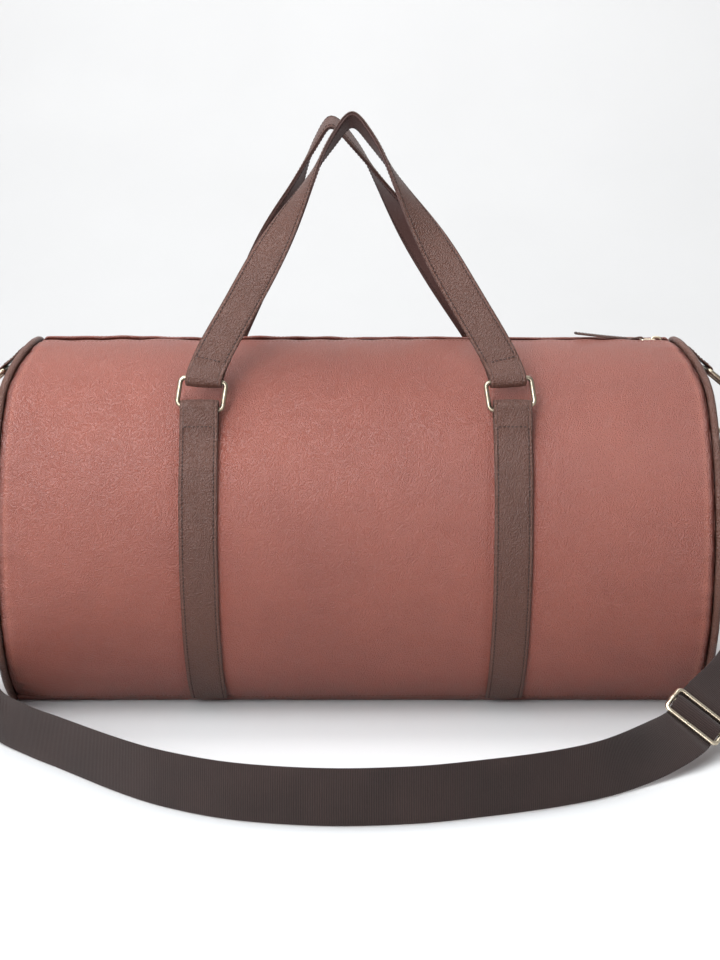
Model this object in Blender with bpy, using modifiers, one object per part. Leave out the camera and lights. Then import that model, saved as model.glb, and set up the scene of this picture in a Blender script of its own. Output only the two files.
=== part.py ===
"""A leather weekender duffel bag with a floor-length shoulder strap clipped to both ends.

Metres, +Z up, +X along the bag's length, the front faces -Y. The origin is on the floor,
under the middle of the bag.
"""

from math import cos, pi, radians, sin

import bmesh
import bpy
from mathutils import Matrix, Vector

# ---- driving dimensions ---------------------------------------------------------------
HALF_DEPTH = 0.125  # from the middle to the widest point of the front
TOP = 0.2836  # height of the zipper line
WIDEST_Z = 0.138  # height of the widest point
UNDER = 0.013  # how far the round section would pass below the floor if it were not flat
END_MID = 0.263  # half length over most of the height
END_FLARE = 0.006  # how much longer each half is at the base
END_TUCK = 0.012  # how much shorter each half is at the zipper
TUCK_FROM = 0.86  # share of the height at which that begins
SKIN = 0.0022  # leather with its backing
GAP = 0.0004  # between pieces that touch
BASE_SEAM = 151  # degrees round the section, from the top, where front meets base
ZIP_EDGE = 0.0075  # from the zipper's middle to the edge of the leather

PIPING_RADIUS = 0.0028
END_DOME = 0.015  # how far an end panel bulges

STRAP_WIDTH = 0.0285
STRAP_THICK = 0.0018
STRAP_X = 0.1160  # middle of each body strap

RING_WIRE = 0.00175
RING_HALF = 0.0170  # half width, wire centre to wire centre
RING_HEIGHT = 0.0205
RING_CORNER = 0.0035
RING_TILT = 7.5  # degrees, the inner side lower
RING_LEAN = 15  # degrees back over the bag
RING_Y = 0.098
RING_Z = 0.2416
LOOP_RADIUS = 0.0050  # middle of the leather round a ring's bar

HANDLE_WIDTH = 0.027
HANDLE_THICK = 0.0014
HANDLE_X = 0.1130
HANDLE_RISE = 0.206  # from the ring's upper bar to the apex, along the handle's own plane
HANDLE_LEAN = 21  # degrees
HANDLE_APEX_X = {"front": -0.003, "back": -0.020}

WEB_WIDTH = 0.038
WEB_THICK = 0.0014
WEB_WIRE = 0.0017

HOOK_X = 0.310  # the hook's upright axis
EYE_Z = 0.1981  # lower bar of the swivel eye
CLIP_X = 0.3083  # lowest wire of the D-ring, inside the hook
CLIP_Z = 0.2371

SLIDER_X = 0.2395
PULL_WIDTH = 0.010

COLOURS = {
    "tan_leather": ((0.33, 0.125, 0.085), 0.5, 0.0),
    "brown_leather": ((0.11, 0.055, 0.042), 0.5, 0.0),
    "leather_backing": ((0.05, 0.022, 0.02), 0.6, 0.0),
    "lining_cloth": ((0.09, 0.07, 0.06), 0.85, 0.0),
    "board": ((0.2, 0.15, 0.1), 0.8, 0.0),
    "zipper_tape": ((0.09, 0.03, 0.022), 0.85, 0.0),
    "dark_brass": ((0.16, 0.12, 0.08), 0.35, 1.0),
    "light_brass": ((0.55, 0.47, 0.33), 0.3, 1.0),
    "webbing": ((0.035, 0.02, 0.018), 0.9, 0.0),
}


# ---- scene and materials --------------------------------------------------------------
def clear_scene():
    for obj in list(bpy.data.objects):
        bpy.data.objects.remove(obj, do_unlink=True)


def new_collection(name):
    made = bpy.data.collections.new(name)
    bpy.context.scene.collection.children.link(made)
    return made


def material(name):
    found = bpy.data.materials.get(name)
    if found:
        return found
    colour, roughness, metallic = COLOURS[name]
    made = bpy.data.materials.new(name)
    made.use_nodes = True
    shader = made.node_tree.nodes["Principled BSDF"]
    shader.inputs["Base Color"].default_value = (*colour, 1)
    shader.inputs["Roughness"].default_value = roughness
    shader.inputs["Metallic"].default_value = metallic
    return made


def keep(name, data, look, smooth=True):
    """A node of the bag from mesh or curve data."""
    obj = bpy.data.objects.new(name, data)
    BAG.objects.link(obj)
    data.materials.clear()
    data.materials.append(material(look))
    if smooth and obj.type == "MESH":
        data.shade_smooth()
        data.set_sharp_from_angle(angle=radians(40))
    return obj


def mesh_of(name, vertices, faces):
    data = bpy.data.meshes.new(name)
    data.from_pydata([tuple(v) for v in vertices], [], faces)
    data.update()
    return data


def pivot(name, place):
    """An empty on a joint's axis; moving pieces are its children."""
    empty = bpy.data.objects.new(name, None)
    empty.location = place
    empty.empty_display_size = 0.01
    BAG.objects.link(empty)
    return empty


def hang_on(obj, empty):
    obj.parent = empty
    obj.matrix_parent_inverse = Matrix.Translation(empty.location).inverted()


# ---- shapes ---------------------------------------------------------------------------
def shell(name, rows, look, thickness, offset=-1, closed_rows=False):
    """An open surface through rows of points, made solid on its inner side."""
    count = len(rows[0])
    vertices = [p for row in rows for p in row]
    faces = []
    for i in range(len(rows) - 1):
        for j in range(count if closed_rows else count - 1):
            k = (j + 1) % count
            faces.append((i * count + j, i * count + k, (i + 1) * count + k, (i + 1) * count + j))
    obj = keep(name, mesh_of(name, vertices, faces), look)
    solid = obj.modifiers.new("Thickness", "SOLIDIFY")
    solid.thickness = thickness
    solid.offset = offset
    solid.use_even_offset = True
    return obj


def ribbon(name, centres, across, width, thickness, look):
    """A flat strap along centres, whose width, one for all or one for each, points along across."""
    widths = width if isinstance(width, list) else [width] * len(centres)
    rows = []
    for centre, side, wide in zip(centres, across, widths):
        half = side.normalized() * wide / 2
        rows.append((centre - half, centre + half))
    return shell(name, rows, look, thickness, offset=0)


def wire(name, points, radius, look, cyclic=False, sides=2):
    """A round wire or cord along a polyline."""
    data = bpy.data.curves.new(name, "CURVE")
    data.dimensions = "3D"
    spline = data.splines.new("POLY")
    spline.points.add(len(points) - 1)
    for point, place in zip(spline.points, points):
        point.co = (*place, 1)
    spline.use_cyclic_u = cyclic
    data.bevel_depth = radius
    data.bevel_resolution = sides
    data.use_fill_caps = not cyclic
    return keep(name, data, look)


def as_mesh(obj):
    """The same object with its curve made a closed mesh."""
    graph = bpy.context.evaluated_depsgraph_get()
    data = bpy.data.meshes.new_from_object(obj.evaluated_get(graph))
    form = bmesh.new()
    form.from_mesh(data)
    bmesh.ops.remove_doubles(form, verts=form.verts, dist=0.00001)
    bmesh.ops.recalc_face_normals(form, faces=form.faces)
    form.to_mesh(data)
    form.free()
    name = obj.name
    made = bpy.data.objects.new(name + "_mesh", data)
    made.matrix_world = obj.matrix_world
    BAG.objects.link(made)
    bpy.data.objects.remove(obj)
    made.name = name
    return made


def box(name, low, high, look, bevel=0.0):
    form = bmesh.new()
    bmesh.ops.create_cube(form, size=1)
    size = Vector(high) - Vector(low)
    middle = (Vector(high) + Vector(low)) / 2
    bmesh.ops.scale(form, vec=size, verts=form.verts)
    data = bpy.data.meshes.new(name)
    form.to_mesh(data)
    form.free()
    obj = keep(name, data, look, smooth=False)
    obj.location = middle
    if bevel:
        edge = obj.modifiers.new("Edge", "BEVEL")
        edge.width = bevel
        edge.segments = 2
    return obj


def pillar(name, x, low, high, radius, look, segments=20):
    """An upright cylinder in the hook's plane."""
    form = bmesh.new()
    bmesh.ops.create_cone(
        form, cap_ends=True, segments=segments, radius1=radius, radius2=radius, depth=high - low
    )
    data = bpy.data.meshes.new(name)
    form.to_mesh(data)
    form.free()
    obj = keep(name, data, look)
    obj.location = (x, 0, (low + high) / 2)
    return obj


def join(obj, other, operation="UNION"):
    """A Boolean whose second piece is kept aside, out of the render."""
    BAG.objects.unlink(other)
    CUTTERS.objects.link(other)
    other.hide_render = True
    other.display_type = "WIRE"
    step = obj.modifiers.new("Join " + other.name, "BOOLEAN")
    step.operation = operation
    step.solver = "EXACT"
    step.object = other


def curve_through(points, per_step):
    """A smooth line through hand-chosen points (Catmull-Rom)."""
    ends = [points[0] * 2 - points[1], *points, points[-1] * 2 - points[-2]]
    line = []
    for a, b, c, d in zip(ends, ends[1:], ends[2:], ends[3:]):
        for k in range(per_step):
            t = k / per_step
            even = 2 * b + (c - a) * t
            bend = (2 * a - 5 * b + 4 * c - d) * t * t
            twist = (3 * b - a - 3 * c + d) * t * t * t
            line.append((even + bend + twist) / 2)
    line.append(points[-1])
    return line


# ---- the bag's section ----------------------------------------------------------------
def section(degrees, inset=0.0, floor=0.0):
    """(y, z) on the front half of the section, 0 at the top and 180 under the middle."""
    a = radians(degrees)
    rise = TOP - WIDEST_Z if degrees <= 90 else WIDEST_Z + UNDER
    y = -HALF_DEPTH * sin(a)
    z = WIDEST_Z + rise * cos(a)
    away = Vector((-sin(a) * rise, cos(a) * HALF_DEPTH)).normalized()
    y -= away.x * inset
    z -= away.y * inset
    return y, max(z, floor)


def end_x(z):
    """Half the bag's length at this height."""
    share = z / TOP
    tuck = END_TUCK * (max(0.0, share - TUCK_FROM) / (1 - TUCK_FROM)) ** 2
    return END_MID + END_FLARE * max(0.0, 1 - share) ** 2 - tuck


def spread(first, last, steps):
    return [first + (last - first) * k / steps for k in range(steps + 1)]


def flip(points, side):
    """Front points for side -1, and their mirror behind for +1."""
    return [Vector((p[0], -p[1] * side, p[2])) for p in points]


def make_side_panel(name, side):
    """The front or back panel, from the zipper down to the base seam."""
    top = 3.5  # degrees at which the panel is ZIP_EDGE from the middle
    rows = []
    for along in spread(-1, 1, 14):
        row = []
        for degrees in spread(top, BASE_SEAM, 18):
            y, z = section(degrees)
            row.append((along * end_x(z), y, z))
        rows.append(flip(row, side))
    obj = shell(name, rows, "tan_leather", SKIN)
    face_out(obj, side)
    return obj


def face_out(obj, side):
    """Turns a front or back surface so that its faces look away from the bag."""
    if side > 0:
        obj.data.flip_normals()


def make_base():
    """The base panel turns up a little at the front and back to meet the side panels."""
    rows = []
    seam = BASE_SEAM + 0.3
    for along in spread(-1, 1, 10):
        front = [section(degrees) for degrees in spread(seam, 180, 7)]
        both = front + [(-y, z) for y, z in reversed(front[:-1])]
        rows.append([Vector((along * end_x(z), y, z)) for y, z in both])
    shell("base_panel", rows, "tan_leather", SKIN)
    low = SKIN + GAP
    box("base_board", (-0.235, -0.044, low), (0.235, 0.044, low + 0.0024), "board", 0.0006)


def outline(inset, floor, count):
    """Closed list of (y, z) round the section."""
    half = [section(degrees, inset, floor) for degrees in spread(0, 180, count // 2)]
    return half + [(-y, z) for y, z in reversed(half[1:-1])]


def make_end(name, side):
    """A domed end panel, with its piping round it."""
    seam = PIPING_RADIUS + 2 * GAP
    around = outline(0.0005, PIPING_RADIUS + GAP, 44)
    path = [Vector((side * (end_x(z) + seam), y, z)) for y, z in around]
    wire("piping_" + name, path, PIPING_RADIUS, "brown_leather", cyclic=True, sides=1)
    rim = outline(0.0005 + seam, 2 * PIPING_RADIUS + 2 * GAP, 36)
    middle = WIDEST_Z
    rows = []
    for share in (1, 0.93, 0.82, 0.66, 0.46, 0.24):
        row = []
        for y, z in rim:
            at_y = y * share
            at_z = middle + (z - middle) * share
            bulge = END_DOME * (1 - share**2.5)
            row.append(Vector((side * (end_x(at_z) + seam + bulge), at_y, at_z)))
        rows.append(row)
    obj = shell("end_panel_" + name, rows, "tan_leather", SKIN, closed_rows=True)
    cap_middle(obj, side, len(rim))


def cap_middle(obj, side, count):
    """Closes the dome's middle with a fan of faces and points every face outwards."""
    form = bmesh.new()
    form.from_mesh(obj.data)
    form.verts.ensure_lookup_table()
    ring = form.verts[-count:]
    centre = sum((v.co for v in ring), Vector()) / count
    hub = form.verts.new(centre + Vector((side * 0.0006, 0, 0)))
    for k, vert in enumerate(ring):
        form.faces.new((vert, ring[(k + 1) % count], hub))
    bmesh.ops.recalc_face_normals(form, faces=form.faces)
    form.faces.ensure_lookup_table()
    if form.faces[-1].normal.x * side < 0:
        bmesh.ops.reverse_faces(form, faces=form.faces)
    form.to_mesh(obj.data)
    form.free()
    obj.data.shade_smooth()


def make_lining():
    """A cloth tube, open along the zipper, with a closing piece at each end."""
    inset = 0.0052
    floor = SKIN + 0.0024 + 3 * GAP
    reach = END_MID - END_TUCK - 0.0045
    half = [section(degrees, inset, floor) for degrees in spread(10, 180, 16)]
    ring = half + [(-y, z) for y, z in reversed(half[:-1])]
    rows = [[Vector((x, y, z)) for y, z in ring] for x in spread(-reach, reach, 2)]
    shell("lining", rows, "lining_cloth", 0.0008)
    for name, side in SIDES.items():
        x = side * (reach + GAP + 0.0008)
        rim = outline(inset + 0.0002, floor, 32)
        faces = [tuple(range(len(rim)))]
        data = mesh_of("lining_end_" + name, [(x, y, z) for y, z in rim], faces)
        obj = keep("lining_end_" + name, data, "lining_cloth", smooth=False)
        solid = obj.modifiers.new("Thickness", "SOLIDIFY")
        solid.thickness = 0.0008
        solid.offset = 0


def make_zipper():
    tape_top = TOP - SKIN - GAP - 0.0014
    for name, side in (("front", -1), ("back", 1)):
        low, high = sorted((side * 0.0033, side * 0.0160))
        box("zipper_tape_" + name, (-0.245, low, tape_top - 0.0007), (0.246, high, tape_top), "zipper_tape")
        low, high = sorted((side * 0.0007, side * 0.0029))
        first = (-0.239, low, tape_top - 0.0014)
        last = (0.2435, high, tape_top + 0.0008)
        box("zipper_teeth_" + name, first, last, "dark_brass")
    stops = {"left": -0.2405, "right": 0.2455}
    for name, x in stops.items():
        low = (x - 0.001, -0.0026, tape_top - 0.0018)
        box("zipper_stop_" + name, low, (x + 0.001, 0.0026, tape_top + 0.0012), "dark_brass", 0.0003)
    make_slider(tape_top)


def make_slider(tape_top):
    """Two plates over and under the teeth, held by a thin wedge, with a pull on a bridge."""
    above = tape_top + 0.0012
    under = tape_top - 0.0030
    x = SLIDER_X
    slide = pivot("slider_axis", (x, 0, above))
    first = (x - 0.0045, -0.0042, above)
    last = (x + 0.0045, 0.0042, above + 0.0012)
    body = box("zip_slider", first, last, "dark_brass")
    first = (x - 0.0045, -0.0042, under)
    last = (x + 0.0045, 0.0042, under + 0.0012)
    lower = box("slider_lower_plate", first, last, "dark_brass")
    first = (x - 0.0035, -0.0004, under + 0.0005)
    last = (x + 0.0035, 0.0004, above + 0.0005)
    wedge = box("slider_wedge", first, last, "dark_brass")
    bridge_path = [
        Vector((x + 0.0036, 0, above + 0.0008)),
        Vector((x + 0.0036, 0, above + 0.0034)),
        Vector((x + 0.0024, 0, above + 0.0044)),
        Vector((x - 0.0024, 0, above + 0.0044)),
        Vector((x - 0.0036, 0, above + 0.0034)),
        Vector((x - 0.0036, 0, above + 0.0008)),
    ]
    bridge = as_mesh(wire("slider_bridge", bridge_path, 0.0008, "dark_brass"))
    for piece in (lower, wedge, bridge):
        join(body, piece)
    hang_on(body, slide)
    make_pull(x, above)


def make_pull(x, above):
    """A wire link through the bridge, and a leather tab that lies along the zipper."""
    link_z = above + 0.0025
    hinge = pivot("link_axis", (x - 0.0012, 0, link_z))
    near, far = x - 0.0012, x - 0.0122
    half = 0.0030
    path = [
        Vector((near, -half, link_z)),
        Vector((near, half, link_z)),
        Vector((far, half, link_z)),
        Vector((far, -half, link_z)),
    ]
    link = wire("pull_link", rounded(path, 0.0016, 3), 0.0007, "dark_brass", cyclic=True, sides=1)
    hang_on(link, hinge)
    tab_hinge = pivot("tab_axis", (far, 0, link_z))
    thick = 0.0013
    inner = 0.0012
    middle = inner + thick / 2
    turn = [
        Vector((far + middle * cos(radians(a)), 0, link_z + middle * sin(radians(a))))
        for a in spread(-75, 75, 8)
    ]
    lower_layer = [
        Vector((far - 0.004, 0, link_z - 0.00095)),
        Vector((far - 0.0010, 0, link_z - 0.0018)),
    ]
    upper_layer = [
        Vector((far - 0.0010, 0, link_z + 0.0018)),
        Vector((far - 0.005, 0, link_z + 0.0010)),
        Vector((far - 0.009, 0, link_z + 0.0007)),
        Vector((far - 0.030, 0, link_z + 0.0007)),
        Vector((far - 0.053, 0, link_z + 0.0007)),
    ]
    centres = lower_layer + turn + upper_layer
    across = [Vector((0, 1, 0))] * len(centres)
    widths = [0.0036] * (len(centres) - 3) + [0.0060, PULL_WIDTH, PULL_WIDTH]
    tab = ribbon("pull_tab", centres, across, widths, thick, "brown_leather")
    hang_on(tab, tab_hinge)


def rounded(corners, radius, steps):
    """A closed outline with each corner turned round in a few steps."""
    line = []
    count = len(corners)
    for k, corner in enumerate(corners):
        back = (corners[k - 1] - corner).normalized() * radius
        on = (corners[(k + 1) % count] - corner).normalized() * radius
        hub = corner + back + on
        for step in range(steps + 1):
            a = pi / 2 * step / steps
            line.append(hub - on * cos(a) - back * sin(a))
    return line


# ---- rings, body straps and handles ---------------------------------------------------
def lean_of(side):
    """Unit vector up along a ring, which leans back over the bag."""
    return Vector((0, -side * sin(radians(RING_LEAN)), cos(radians(RING_LEAN))))


def ring_bars(side, end):
    """Middles of a ring's lower and upper bars; end is -1 left and +1 right."""
    lower = Vector((end * STRAP_X, side * RING_Y, RING_Z))
    shift = Vector((end * (HANDLE_X - STRAP_X), 0, 0))
    upper = lower + lean_of(side) * RING_HEIGHT + shift
    return lower, upper


def ring_across(side, end):
    """The direction of a ring's bars, whose inner end is the lower one."""
    tilt = radians(RING_TILT) * end
    return (Vector((1, 0, 0)) * cos(tilt) + lean_of(side) * sin(tilt)).normalized()


def make_ring(name, side, end, axis):
    lower, upper = ring_bars(side, end)
    across = ring_across(side, end) * RING_HALF
    corners = [lower - across, lower + across, upper + across, upper - across]
    ring = wire(name, rounded(corners, RING_CORNER, 4), RING_WIRE, "dark_brass", cyclic=True)
    hang_on(ring, axis)


def make_body_strap(name, side, end):
    """Leather from round the ring's lower bar, down the panel, to the base seam."""
    lower, _ = ring_bars(side, end)
    bar_y, bar_z = -abs(lower.y), lower.z
    flap = [section(degrees, -0.0013) for degrees in (63, 58, 54)]
    start, finish = -38, 188  # degrees round the bar, 0 towards the bag
    turn = []
    for a in spread(start, finish, 12):
        turn.append((bar_y + LOOP_RADIUS * cos(radians(a)), bar_z + LOOP_RADIUS * sin(radians(a))))
    outer = [section(56, -0.0050), section(60, -0.0037), section(66, -0.0036), section(72, -0.0024)]
    down = [section(degrees, -0.0013) for degrees in spread(78, BASE_SEAM - 1, 12)]
    line = flap + turn + outer + down
    centres = flip([(end * STRAP_X, y, z) for y, z in line], side)
    across = [Vector((1, 0, 0))] * len(centres)
    ribbon(name, centres, across, STRAP_WIDTH, STRAP_THICK, "brown_leather")


def smooth_step(value):
    value = min(max(value, 0.0), 1.0)
    return value * value * (3 - 2 * value)


def along_line(line, distances, values=None):
    """Points at these distances along a polyline, or values that belong to its points."""
    values = values or line
    lengths = [0.0]
    for a, b in zip(line, line[1:]):
        lengths.append(lengths[-1] + (b - a).length)
    found, k = [], 0
    for distance in distances:
        while k < len(line) - 2 and lengths[k + 1] < distance:
            k += 1
        share = (distance - lengths[k]) / (lengths[k + 1] - lengths[k])
        found.append(values[k].lerp(values[k + 1], share))
    return found


def length_of(line):
    return sum((b - a).length for a, b in zip(line, line[1:]))


def ahead_at(line, k):
    return (line[min(k + 1, len(line) - 1)] - line[max(k - 1, 0)]).normalized()


def handle_path(side, up):
    """A handle's middle line from the left ring's upper bar over the apex to the right one's.

    Each pair holds the rise along the leaning plane and the share of the half span left.
    """
    legs = [
        (0.0, 1.0),
        (0.012, 0.967),
        (0.027, 0.905),
        (0.059, 0.752),
        (0.092, 0.597),
        (0.124, 0.447),
        (0.152, 0.316),
        (0.176, 0.205),
        (0.193, 0.110),
        (0.203, 0.045),
    ]
    apex_x = HANDLE_APEX_X["front" if side < 0 else "back"]
    _, bar = ring_bars(side, -1)
    apex = Vector((apex_x, bar.y, bar.z)) + up * HANDLE_RISE
    halves = []
    for end in (-1, 1):
        leg = []
        for rise, share in legs:
            x = apex_x + (end * HANDLE_X - apex_x) * share
            leg.append(Vector((x, bar.y, bar.z)) + up * rise)
        halves.append(leg)
    return curve_through([*halves[0], apex, *reversed(halves[1])], 6)


def handle_frames(side):
    """(point, outward normal, width direction, distance to the nearer ring) along a handle.

    The strap faces out of the leaning plane at the rings, and turns until it faces up
    along that plane at the apex.
    """
    lean = radians(HANDLE_LEAN)
    up = Vector((0, -side * sin(lean), cos(lean)))
    out = Vector((0, side * cos(lean), sin(lean)))
    path = handle_path(side, up)
    total = length_of(path)
    half = [0.004, 0.007, 0.0105, 0.0145, 0.019, 0.024]
    half += spread(0.034, 0.178, 12)
    half += spread(0.184, total / 2, 12)
    line = along_line(path, half + [total - d for d in reversed(half[:-1])])
    frames = []
    for k, point in enumerate(line):
        ahead = ahead_at(line, k)
        rise = (point - path[0]).dot(up)
        turn = pi / 2 * smooth_step((rise - 0.065) / (HANDLE_RISE - 0.07))
        in_plane = out.cross(ahead) * -side
        normal = (out * cos(turn) + in_plane * sin(turn)).normalized()
        across = ahead.cross(normal).normalized()
        reach = half[k] if k < len(half) else half[len(line) - 1 - k]
        end = -1 if k < len(half) else 1
        bar = loop_across(side, end) * side * end
        across = bar.lerp(across, smooth_step(reach / 0.03)).normalized()
        frames.append((point, normal, across, reach))
    return frames, up, out


def loop_across(side, end):
    """Half the ring's tilt, so that the handle's loop clears the bar as both turn."""
    tilt = radians(RING_TILT / 2) * end
    return (Vector((1, 0, 0)) * cos(tilt) + lean_of(side) * sin(tilt)).normalized()


def make_handle(side, axis):
    """An outer strap that wraps both rings, and a backing strap inside it."""
    name = "front" if side < 0 else "back"
    frames, up, out = handle_frames(side)
    bar_radius = 0.0039 + HANDLE_THICK / 2
    flat = HANDLE_THICK / 2 + GAP / 2

    def lift(reach):
        return flat + (bar_radius - flat) * (1 - smooth_step(reach / 0.016))

    def flap(part):
        return [(p - n * lift(d), w) for p, n, w, d in part if d < 0.0245]

    def turn_round(end):
        _, bar = ring_bars(side, end)
        across = loop_across(side, end) * side * end
        found = []
        for a in spread(195, 345, 10):
            place = out * cos(radians(a)) + up * sin(radians(a))
            found.append((bar + place * bar_radius, across))
        return found if end < 0 else found[::-1]

    middle = len(frames) // 2
    outer = [(p + n * lift(d), w) for p, n, w, d in frames]
    first_half = flap(frames[:middle])[::-1] + turn_round(-1)
    second_half = turn_round(1) + flap(frames[middle:])[::-1]
    strip = first_half + outer + second_half
    strap = ribbon(
        "handle_" + name, [s[0] for s in strip], [s[1] for s in strip],
        HANDLE_WIDTH, HANDLE_THICK, "brown_leather",
    )
    hang_on(strap, axis)
    inner = [(p - n * (flat - 0.0001), w) for p, n, w, d in frames if d > 0.03]
    backing = ribbon(
        "handle_backing_" + name, [s[0] for s in inner], [s[1] for s in inner],
        HANDLE_WIDTH - 0.001, HANDLE_THICK - 0.0002, "leather_backing",
    )
    hang_on(backing, axis)


def make_carrying(side):
    """One side's body straps, its pair of rings and its handle."""
    name = "front" if side < 0 else "back"
    ring_axis = pivot("ring_axis_" + name, (0, side * RING_Y, RING_Z))
    _, bar = ring_bars(side, 1)
    handle_axis = pivot("handle_axis_" + name, (0, bar.y, bar.z))
    for where, end in SIDES.items():
        make_ring("ring_" + name + "_" + where, side, end, ring_axis)
        make_body_strap("body_strap_" + name + "_" + where, side, end)
    make_handle(side, handle_axis)


# ---- D-rings and snap hooks -----------------------------------------------------------
TAB_START = Vector((0.2632, 0, 0.2776))  # where the tab leaves the end seam
TAB_BAR = Vector((0.2800, 0, 0.2600))  # straight bar of the D-ring
D_WIRE = 0.0019
D_HALF = 0.0150
TAB_WIDTH = 0.024
TAB_THICK = 0.0015
HOOK_WIRE = 0.0025
HOOK_BEND = 0.0072
EYE_WIRE = 0.0020
EYE_HALF = 0.0225
EYE_HEIGHT = 0.0120
COLLAR_LOW = 0.2131
COLLAR_TOP = 0.2201
BEND_LOW = 0.2296
BEND_Z = 0.2371
NOSE_Z = 0.2328
GATE_LOW = 0.2212
GATE_TOP = 0.2324


def mirror_x(points, side):
    return [Vector((p.x * side, p.y, p.z)) for p in points]


def make_tab(name, side):
    """A leather tab from the end seam that folds round the D-ring's straight bar."""
    away = (TAB_BAR - TAB_START).normalized()
    out = Vector((-away.z, 0, away.x))
    radius = D_WIRE + GAP + TAB_THICK / 2
    line = [TAB_START - out * (TAB_THICK / 2 + GAP / 2), TAB_START + away * 0.012 - out * 0.0012]
    for a in spread(-80, 80, 8):
        line.append(TAB_BAR + (away * cos(radians(a)) + out * sin(radians(a))) * radius)
    line += [TAB_START + away * 0.012 + out * 0.0012, TAB_START + out * (TAB_THICK / 2 + GAP / 2)]
    centres = mirror_x(line, side)
    across = [Vector((0, 1, 0))] * len(centres)
    ribbon("d_ring_tab_" + name, centres, across, TAB_WIDTH, TAB_THICK, "brown_leather")


def make_d_ring(name, side):
    clip = Vector((CLIP_X, 0, CLIP_Z))
    fall = clip - TAB_BAR
    straight = fall.length - D_HALF
    down = fall.normalized()
    y = Vector((0, 1, 0))
    corner = 0.003
    line = [
        TAB_BAR - y * (D_HALF - corner),
        TAB_BAR + y * (D_HALF - corner),
        TAB_BAR + y * (D_HALF - corner * 0.3) + down * corner * 0.3,
        TAB_BAR + y * D_HALF + down * corner,
    ]
    for a in spread(0, 180, 12):
        line.append(TAB_BAR + down * straight + (y * cos(radians(a)) + down * sin(radians(a))) * D_HALF)
    line += [
        TAB_BAR - y * D_HALF + down * corner,
        TAB_BAR - y * (D_HALF - corner * 0.3) + down * corner * 0.3,
    ]
    axis = pivot("d_ring_axis_" + name, mirror_x([TAB_BAR], side)[0])
    ring = wire("d_ring_" + name, mirror_x(line, side), D_WIRE, "dark_brass", cyclic=True, sides=1)
    hang_on(ring, axis)


def make_hook(name, side):
    """A swivel snap hook: eye for the webbing, collar with a bent hook, and a sprung gate."""
    x = side * HOOK_X
    eye_corners = [
        Vector((x - EYE_HALF, 0, EYE_Z)),
        Vector((x + EYE_HALF, 0, EYE_Z)),
        Vector((x + EYE_HALF, 0, EYE_Z + EYE_HEIGHT)),
        Vector((x - EYE_HALF, 0, EYE_Z + EYE_HEIGHT)),
    ]
    eye_line = rounded(eye_corners, 0.004, 4)
    eye = as_mesh(wire("hook_eye_" + name, eye_line, EYE_WIRE, "dark_brass", cyclic=True))
    post = pillar("post_" + name, x, EYE_Z + EYE_HEIGHT, COLLAR_TOP + 0.0012, 0.0022, "dark_brass")
    head = pillar("post_head_" + name, x, COLLAR_TOP + 0.0005, COLLAR_TOP + 0.0022, 0.0034, "dark_brass")
    join(eye, post)
    join(eye, head)
    turn = pivot("swivel_axis_" + name, (x, 0, COLLAR_LOW))
    hook = pillar("hook_" + name, x, COLLAR_LOW, COLLAR_TOP, 0.0070, "dark_brass", 28)
    hole = pillar("post_hole_" + name, x, COLLAR_LOW - 0.002, COLLAR_TOP + 0.002, 0.0027, "dark_brass", 20)
    bend = [Vector((HOOK_X - HOOK_BEND, 0, COLLAR_TOP - 0.004)), Vector((HOOK_X - HOOK_BEND, 0, BEND_LOW))]
    for a in spread(180, 0, 12):
        bend.append(Vector((HOOK_X + HOOK_BEND * cos(radians(a)), 0, BEND_Z + HOOK_BEND * sin(radians(a)))))
    bend.append(Vector((HOOK_X + HOOK_BEND, 0, NOSE_Z)))
    bent = as_mesh(wire("hook_bend_" + name, mirror_x(bend, side), HOOK_WIRE, "dark_brass"))
    join(hook, bent)
    join(hook, hole, "DIFFERENCE")
    hang_on(hook, turn)
    gate_axis = pivot("gate_axis_" + name, (side * (HOOK_X + HOOK_BEND), 0, GATE_LOW + 0.0009))
    gate_x = side * (HOOK_X + HOOK_BEND)
    gate = pillar("hook_gate_" + name, gate_x, GATE_LOW, GATE_TOP, 0.0018, "dark_brass", 16)
    hang_on(gate, gate_axis)


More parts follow.
